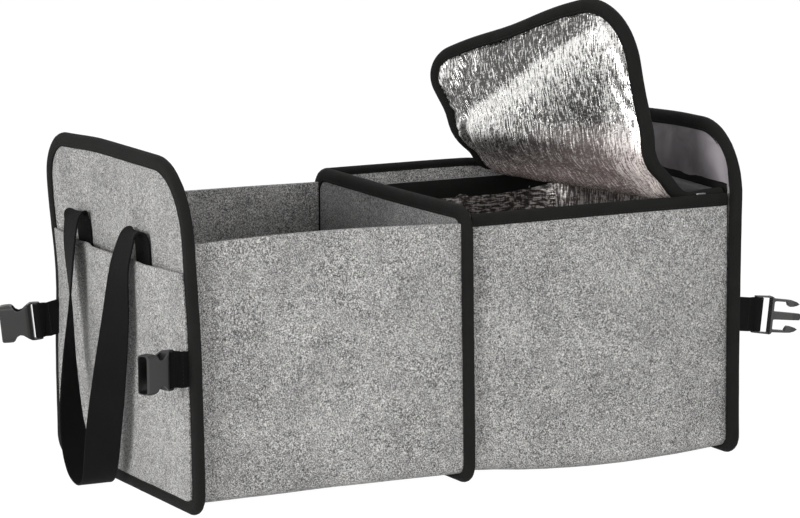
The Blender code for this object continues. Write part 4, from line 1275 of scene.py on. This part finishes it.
def halves(made):
    """Cuts a piece of the closed lid across, and closes both halves."""
    plane_point = Vector(FIRST_FOLD + CUT_AT * TOWARDS_FREE)
    out = []
    for word, keep_far in (("near", False), ("far", True)):
        copy = add_object(f"{made.name}_{word}", made.data.copy())
        work = bmesh.new()
        work.from_mesh(copy.data)
        cut = bmesh.ops.bisect_plane(
            work, geom=[*work.verts, *work.edges, *work.faces], plane_co=plane_point,
            plane_no=Vector(TOWARDS_FREE), clear_inner=keep_far, clear_outer=not keep_far)
        rim = [e for e in cut["geom_cut"] if isinstance(e, bmesh.types.BMEdge)]
        filled = bmesh.ops.holes_fill(work, edges=rim, sides=0)["faces"]
        bmesh.ops.triangulate(work, faces=filled)
        bmesh.ops.recalc_face_normals(work, faces=work.faces)
        work.to_mesh(copy.data)
        work.free()
        out.append(copy)
    bpy.data.objects.remove(made)
    return out


def lid_mark(share):
    """A place on the open lid's middle line, some share of the way from the first fold to the cut."""
    return tuple(open_up((FIRST_FOLD + share * CUT_AT * TOWARDS_FREE)[None])[0])


def lid_piece(made, near_nodes=(), far_nodes=()):
    """Cuts a piece of the closed lid in two, opens both and hides the solids that they stand for."""
    near, far = halves(made)
    for half in (near, far):
        points = np.array([v.co for v in half.data.vertices])
        half.data.vertices.foreach_set("co", open_up(points).astype(np.float32).ravel())
        half.data.update()
        soften(half.data, 60)
    lid_mark(-1)
    lid_mark(0.9)
    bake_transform(near)
    lid_mark(1.1)
    lid_mark(3)
    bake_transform(far)
    for half, nodes in ((near, near_nodes), (far, far_nodes)):
        if nodes:
            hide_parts(*nodes)
    return near, far


def lid_painted_highlight(along, across):
    """Painted highlight: how much each part of the sheet is lightened, along a slanting band, the front
    edge and a corner.
    """
    u = 0.5 - 0.5 * across / 0.13
    v = (along - 0.090) / 0.117
    below = 0.504 + 0.47 * u - v
    band = 0.95 * smooth(below / 0.07) * np.exp(-(np.maximum(below, 0) / 0.34) ** 2)
    front = 0.75 * smooth((u - 0.80) / 0.10) * (1 - 0.55 * np.exp(-((v - 0.50) / 0.10) ** 2))
    corner = 0.55 * np.exp(-((u - 0.04) / 0.13) ** 2 - ((v - 0.95) / 0.13) ** 2)
    return np.clip(0.10 + np.maximum(np.maximum(band, front), corner), 0.0, 1.0)


pad_closed = lid_place(swollen[:, 0], swollen[:, 1], swollen[:, 2])
pad = piece("lid_pad", pad_closed, pad_faces, FOIL_LID, 60, strip=pad_points)
in_flat = np.zeros(3 * len(pad.data.vertices))
pad.data.attributes["strip"].data.foreach_get("vector", in_flat)
in_flat = in_flat.reshape(-1, 3)
# Each point carries the foil's painted highlight and how far into the bend it is, where a warm, darker
# reflection is painted.
for key, values in (("shine", lid_painted_highlight(in_flat[:, 0], in_flat[:, 1])),
                    ("bend", 1 - smooth((in_flat[:, 0] - 0.078 - 0.06 * in_flat[:, 1]) / 0.050))):
    layer = pad.data.attributes.new(key, "FLOAT", "POINT")
    layer.data.foreach_set("value", values.astype(np.float32))
pad.data.materials.append(FELT_LID)
for polygon in pad.data.polygons:
    if polygon.normal.z > 0.1:
        polygon.material_index = 1
pad_near, pad_far = lid_piece(pad, ("lid_root", "lid_middle"), ("lid_panel",))
print("pad faces:", len(pad_near.data.polygons), len(pad_far.data.polygons))

# %% [markdown]
# The tape round the lid is fuller than on the panels, because it covers foam. It is built on the
# closed outline and opened with the same turns, with its stitches and half of the zip's coil.

# %% The lid's tape
def lid_tape():
    """The tape round the closed lid, slightly uneven where it was sewn."""
    section = tape_section(PAD_HALF, LIP, 1.25)
    paths = [lid_outline(inset) for inset, _ in section]
    rings = []
    for k in range(len(paths[0])):
        ring = []
        for path, (inset, off) in zip(paths, section):
            spot = path[k]
            pucker = 1 + 0.06 * ripple((spot[0], spot[1], off * 20), 90, 4.0)
            ring.append(lid_place(*np.array([[spot[0]], [spot[1]], [off * pucker]]))[0])
        rings.append(ring)
    return sweep_piece("lid_tape", rings, TAPE)


tape_near, tape_far = lid_piece(
    lid_tape(),
    ("lid_root_binding_back", "lid_root_binding_front",
     "lid_middle_binding_back", "lid_middle_binding_front"),
    ("lid_panel_binding",))


def lid_line(inset, off):
    """A line round the closed lid, some way in from its edge and off its middle."""
    path = lid_outline(inset)
    return lid_place(path[:, 0], path[:, 1], np.full(len(path), off))


for word, up in (("foil_side", -1), ("felt_side", 1)):
    line = lid_line(STITCH_INSET, up * (PAD_HALF + SEAM_OFF))
    lid_piece(stitches(f"lid_seam_{word}", line, (0, 0, up), THREAD))
COIL_INSET = 0.0010
SLIDER_END = 0.0315   # the coil starts past the slider at the seam's front end
coil_outline = lid_outline(COIL_INSET)
past_slider = (coil_outline[:, 0] > SLIDER_END) | (coil_outline[:, 1] > 0)
zip_line = lid_line(COIL_INSET, -0.0031)[past_slider]
outward = unit(lid_line(COIL_INSET, -0.0060)[past_slider] - zip_line)
lid_piece(coil_teeth("zip_coil_lid", zip_line, outward))
print("tape faces:", len(tape_near.data.polygons), len(tape_far.data.polygons))

# %% [markdown]
# ## Hinge tape and the lining above it
#
# The lid is sewn to the right panel through a strip of tape. Above the strip the panel has a
# smooth grey lining, which puckers a little between its seams.

# %% Hinge tape and lining
tape_low, tape_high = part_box("lid_hinge_tape")
lining_low, lining_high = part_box("end_lining_right")


def panel_inner(y, z, off):
    """Just inside the right panel's inner face."""
    return right_low.x + lean_right(y, z) - off


def tape_dip(y):
    """The hinge tape sinks towards the front, where the lid's root is drawn down."""
    wavy = 0.0016 * ripple((0, y, 0), 40, 6.0) + 0.0007 * ripple((0, y, 0), 120, 2.0)
    return 0.0045 * (0.5 - 0.5 * y / 0.14) - wavy


hinge_rows = [[(panel_inner(y, z, 0.0014 + 0.0006 * ripple((0, y, z), 60, 2.0)), y, z - tape_dip(y))
               for y in np.linspace(tape_low.y, tape_high.y, 110)]
              for z in np.linspace(tape_low.z, tape_high.z - 0.0005, 10)]
on_bag(sheet_piece("hinge_tape", hinge_rows, 0.0012, TAPE), "black_binding", "lid_hinge_tape")
lining_board = Board(Vector((lining_low.x, -0.1392, 0.2350)), Vector((lining_high.x, 0.1392, 0.2810)),
                     (0.002, 0.002, 0.034, 0.038), lean_right, RIGHT.crown)
lining_rows = [[(panel_inner(y, z, 0.0007 + 0.0007 * ripple((0, y, z), 38, 7.0)
                             + 0.0010 * math.sin(math.pi * (z - 0.24) / 0.041)), y, z) for y, z in line]
               for line in lining_board.grid(26, 64, 0.0005)]
on_bag(sheet_piece("panel_lining", lining_rows, 0.0008, LINING), "grey_lining", "end_lining_right")

# %% [markdown]
# ## End pockets
#
# A felt pocket covers the lower two thirds of each end panel. It is sewn at its sides and base,
# and the handles' ends push its mouth open, so two soft folds run down from them.

# %% Pockets
POCKET_TOP = 0.202
POCKET_LOW = 0.0118
POCKET_HALF = 0.1415
POCKET_FELT = 0.0025
HANDLE_Y = 0.006
HANDLE_HALF = 0.065


def pocket_gape(y, z):
    """How far the pocket stands off the panel: most in the middle of its mouth."""
    across = max(1 - (y / 0.1413) ** 2, 0.0)
    up = min(max((z - 0.0122) / (POCKET_TOP - 0.0122), 0.0), 1.02)
    return 0.0003 + 0.0095 * across * math.sin(math.pi / 2 * up)


def pocket_folds(y, z):
    """Soft folds under the handles' ends and small slack elsewhere."""
    up = smooth((z - 0.07) / 0.12)
    depth = 0.0
    for side, away, lean, size in ((-1, 0.018, -0.10, 1.0), (1, -0.020, 0.24, 1.0),
                                   (-1, -0.022, -0.05, -0.7), (1, 0.012, 0.1, -0.5)):
        centre = HANDLE_Y + side * HANDLE_HALF + away + lean * (POCKET_TOP - z)
        depth -= size * 0.0027 * math.exp(-((y - centre) / 0.010) ** 2)
    return float(depth * up)


def pocket(name, board, out, node):
    """A pocket on the outer face of an end panel. Out is -1 for the left and 1 for the right."""
    face = board.low.x if out < 0 else board.high.x
    rows = []
    for z in np.linspace(POCKET_LOW, POCKET_TOP, 52):
        row = []
        for y in np.linspace(-POCKET_HALF, POCKET_HALF, 84):
            low_corner = max(0.008 - (POCKET_HALF - abs(y)), 0.0)
            lift = low_corner * 0.35 * (1 - (z - POCKET_LOW) / (POCKET_TOP - POCKET_LOW))
            height = z + lift + 0.0009 * ripple((0, y, 0), 18, 3.0) * float(smooth((z - 0.15) / 0.05))
            sewn = min(max((POCKET_HALF - abs(y)) / 0.02, 0.0), 1.0)
            slack = (pocket_folds(y, height) + 0.0010 * ripple((0, y, height * 0.6), 30, 8.0)) * sewn
            off = pocket_gape(y, height) + POCKET_FELT / 2 + slack + 0.0002
            row.append((face + float(board.lean(y, height)) + out * off, y, height))
        rows.append(row)
    on_bag(sheet_piece(name, rows, POCKET_FELT, FELT), "grey_felt", node)


pocket("left_pocket_felt", LEFT, -1, "pocket_left")
pocket("right_pocket_felt", RIGHT, 1, "pocket_right")

# %% [markdown]
# ## Webbing
#
# Webbing is flat, stiff across its width and soft along its length. A handle is one strip that
# leaves the pocket, turns over its edge, hangs in a loop and twists by half a turn at the bottom.
# The route below repeats the solid's, and each point says how far the strip has twisted. The
# section has rounded edges and a raised selvedge rib on both sides.

# %% Handles
def spline(values, steps):
    """A smooth curve through numbers or points."""
    values = [np.asarray(v, float) for v in values]
    out = []
    last = len(values) - 1
    for k in range(last):
        a, b, c, d = values[max(k - 1, 0)], values[k], values[k + 1], values[min(k + 2, last)]
        for step in range(steps):
            t = step / steps
            out.append(0.5 * (2 * b + (c - a) * t + (2 * a - 5 * b + 4 * c - d) * t ** 2
                              + (3 * b - a - 3 * c + d) * t ** 3))
    out.append(values[last])
    return np.array(out)


def ribbon_rings(points, widths, width, thickness):
    """Rings of a flat strip with a thicker rib along each edge."""
    half, deep = width / 2, thickness / 2
    profile = [(-1.0, 0.25), (-0.985, 0.85), (-0.95, 1.12), (-0.90, 0.98), (-0.45, 1.0)]
    profile += [(0.0, 1.03)] + [(-share, thick) for share, thick in profile[::-1]]
    section = [(share * half, thick * deep) for share, thick in profile]
    section += [(a, -b) for a, b in section[::-1]]
    along = unit(np.gradient(points, axis=0))
    rings = []
    for spot, ahead, wide in zip(points, along, widths):
        wide = wide - ahead * (wide @ ahead)
        wide = wide / np.linalg.norm(wide)
        normal = np.cross(ahead, wide)
        rings.append([spot + wide * a + normal * b for a, b in section])
    return rings


WEBBING_WIDTH = 0.030
HANDLE_ROUTE = [      # off the panel, drawn in, height, twist in degrees
    (0.0011, 0.000, 0.145, 0), (0.0011, 0.000, 0.190, 0), (0.0016, 0.000, 0.2140, 0),
    (0.0034, 0.000, 0.2238, 0), (0.0078, 0.001, 0.2268, 0), (0.0125, 0.003, 0.2232, 1),
    (0.0162, 0.005, 0.2130, 3), (0.0205, 0.009, 0.1930, 8), (0.0245, 0.014, 0.1500, 25),
    (0.0290, 0.021, 0.1000, 44), (0.0318, 0.029, 0.0550, 62), (0.0310, 0.038, 0.0270, 76),
    (0.0292, 0.049, 0.0095, 86), (0.0280, 0.065, 0.0034, 90),
]


def handle(name, board, out, node):
    """A handle: the route once up and over, then the same route backwards, twisting on."""
    face = board.low.x if out < 0 else board.high.x
    points, angles = [], []
    for side in (-1, 1):
        rows = HANDLE_ROUTE if side < 0 else HANDLE_ROUTE[-2::-1]
        for off, drawn_in, height, turned in rows:
            y = HANDLE_Y + side * (HANDLE_HALF - drawn_in)
            lean = float(board.lean(y, height)) * (1.0 if height > 0.12 else 0.4)
            points.append((face + lean + out * off, y, height))
            angles.append(float(turned if side < 0 else 180 - turned))
    fine = spline(points, 9)
    turns = np.radians(spline(angles, 9))
    widths = np.stack([out * np.sin(turns), np.cos(turns), np.zeros(len(turns))], axis=1)
    rings = ribbon_rings(fine, widths, WEBBING_WIDTH, 0.0016)
    on_bag(sweep_piece(name, rings, WEBBING, sharp=40), "black_webbing", node)


handle("left_handle", LEFT, -1, "handle_left")
handle("right_handle", RIGHT, 1, "handle_right")

# %% [markdown]
# Each corner has a short strap, doubled round the bar of half a buckle. Its two layers are sewn
# together near the bag.

# %% Straps
STRAP_THICK = 0.0013
BAR_RADIUS = 0.0022
CORNERS = [      # bar's middle, heading, droop in degrees, reach from the bag to the bar
    ("left_front", (-0.27255, -0.1394, 0.12400), math.pi, 0.0, 0.0135),
    ("left_back", (-0.27695, 0.1394, 0.12212), math.pi, 6.0, 0.0180),
    ("right_front", (0.28987, -0.1394, 0.12108), 0.0, 7.0, 0.0240),
    ("right_back", (0.28999, 0.1394, 0.12233), 0.0, 4.0, 0.0240),
]


def strap(word, bar, heading, droop, reach):
    """A doubled strap from the pocket's face round the buckle's bar."""
    eye = BAR_RADIUS + 0.0004 + STRAP_THICK / 2
    layer = (STRAP_THICK + 0.0003) / 2
    waist = eye * 1.6
    root = -reach - 0.004
    route = [(root, layer), (-waist - eye - 0.001, layer), (-waist, layer * 1.25), (-eye, eye * 0.72)]
    route += [(eye * math.cos(a), eye * math.sin(a)) for a in np.radians(np.linspace(130, -130, 15))]
    route += [(x, -y) for x, y in route[3::-1]]
    place = (Matrix.Translation(bar) @ Matrix.Rotation(heading, 4, "Z")
             @ Matrix.Rotation(math.radians(droop), 4, "Y"))
    outward = math.copysign(1.0, bar[1]) * (-1.0 if heading else 1.0)
    points = []
    for x, y in route:
        near_bag = float(smooth((-reach + 0.0045 - x) / 0.006))
        sag = 0.0012 * math.sin(math.pi * min(max((x + reach) / (reach - 0.0075), 0.0), 1.0))
        points.append((x, y + outward * 0.0022 * near_bag, -sag))
    upright = np.tile([0.0, 0.0, 1.0], (len(points), 1))
    rings = [[tuple(place @ Vector(p)) for p in ring]
             for ring in ribbon_rings(np.array(points), upright, WEBBING_WIDTH, STRAP_THICK)]
    on_bag(sweep_piece(f"strap_{word}_webbing", rings, WEBBING, sharp=40), "black_webbing", "strap_" + word)
    for letter, side in (("a", -1), ("b", 1)):
        line = [(-waist - eye - 0.0018, side * (layer + STRAP_THICK / 2 + 0.0001), z)
                for z in np.linspace(-0.0135, 0.0135, 20)]
        spots = [tuple(place @ Vector(p)) for p in line]
        normal = tuple(place.to_3x3() @ Vector((0, side, 0)))
        on_bag(stitches(f"strap_{word}_seam_{letter}", spots, normal, THREAD, pitch=0.0034, length=0.0026),
               "black_webbing")


for corner_row in CORNERS:
    strap(*corner_row)
print("straps:", len(CORNERS))

# %% [markdown]
# ## What the solids keep
#
# The buckles, the zip's slider and pull, the base boards and the foam are rigid or hidden. Their
# solids have the right shape, so they stay. The moulded and metal ones get a small bevel, because
# no moulded edge is truly sharp.

# %% Finishes on the solids
def keep(node, finish, bevel):
    """Leaves a solid showing, with its own finish and perhaps a fine bevel."""
    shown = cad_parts[node]
    shown.data.materials.clear()
    shown.data.materials.append(finish)
    if bevel:
        step = shown.modifiers.new("bevel", "BEVEL")
        step.width = bevel
        step.segments = 2
        step.limit_method = "ANGLE"
        step.angle_limit = math.radians(35)
        step.harden_normals = True


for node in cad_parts:
    if node.startswith("buckle_"):
        keep(node, BUCKLE, 0.00028)
for node, finish, bevel in (("zip_slider", METAL, 0.0003), ("zip_pull", METAL, 0.0002),
                            ("storage_base_board", BOARD, 0.0005), ("cooler_base_board", BOARD, 0.0005),
                            ("cooler_insulation", FOAM, 0.0)):
    keep(node, finish, bevel)

# %% [markdown]
# ## Light, floor and background
#
# The photograph is cut out on white and lit by large soft lamps. The strongest stands low at the
# left, a second low in front, and a weak one hangs above; so the insides stay dark. An even sky
# fills in a little. The floor is pale, and what the camera sees of it is mostly plain white, so
# the bag keeps only a faint shadow. Mirror rays see white too, which the foil needs.

# %% Stage and lamps
def looked_at(paint):
    """1 for what the camera sees, straight, in a mirror or through something clear."""
    straight, mirrored, through = (paint.add("ShaderNodeLightPath", output=f"Is {kind} Ray")
                                   for kind in ("Camera", "Glossy", "Transmission"))
    return (straight + mirrored + through).math("MINIMUM", 1.0)


def white_stage(name, lit_share):
    """A pale surface that the camera sees as white, with some of its own shadow kept."""
    paint = Paint(name)
    seen = looked_at(paint)
    pale = paint.add("ShaderNodeBsdfDiffuse", {}, {"Color": rgba(grey(0.92))})
    white = paint.add("ShaderNodeEmission", {}, {"Color": rgba(grey(1.0)), "Strength": 1.10})
    mixed = paint.add("ShaderNodeMixShader", {}, {0: seen * (1.0 - lit_share), 1: pale, 2: white})
    paint.add("ShaderNodeOutputMaterial", {}, {"Surface": mixed})
    return paint.material


floor_mesh = bpy.data.meshes.new("floor")
floor_corners = [(x, y, -0.0004) for x, y in ((-6, -6), (6, -6), (6, 6), (-6, 6))]
floor_mesh.from_pydata(floor_corners, [], [(0, 1, 2, 3)])
floor_mesh.materials.append(white_stage("floor_white", 0.10))
floor = add_object("floor", floor_mesh)


def lamp(name, place, aim, size, power):
    """A soft rectangular lamp that looks at a point."""
    data = bpy.data.lights.new(name, "AREA")
    data.shape = "RECTANGLE"
    data.size, data.size_y = size
    data.energy = power
    made = add_object(name, data)
    made.location = place
    made.rotation_euler = (Vector(aim) - Vector(place)).to_track_quat("-Z", "Y").to_euler()


lamp("left", (-2.6, -1.2, 0.75), (0, 0, 0.15), (1.2, 1.0), 54.0)
lamp("front", (0.4, -3.0, 0.55), (0, 0, 0.15), (1.6, 0.9), 29.0)
lamp("top", (-0.2, -0.2, 2.4), (0, 0, 0.1), (1.6, 1.2), 13.0)


def white_sky(power):
    """A weak even sky for the light, that looks plain white wherever it is seen."""
    paint = Paint("sky", bpy.data.worlds.new("sky"))
    soft, plain = (paint.add("ShaderNodeBackground", {}, {"Color": rgba(grey(1.0)), "Strength": strength})
                   for strength in (power, 1.0))
    mixed = paint.add("ShaderNodeMixShader", {}, {0: looked_at(paint), 1: soft, 2: plain})
    paint.add("ShaderNodeOutputWorld", {}, {"Surface": mixed})
    bpy.context.scene.world = paint.material


white_sky(0.22)
bpy.context.scene.view_settings.view_transform = "Standard"
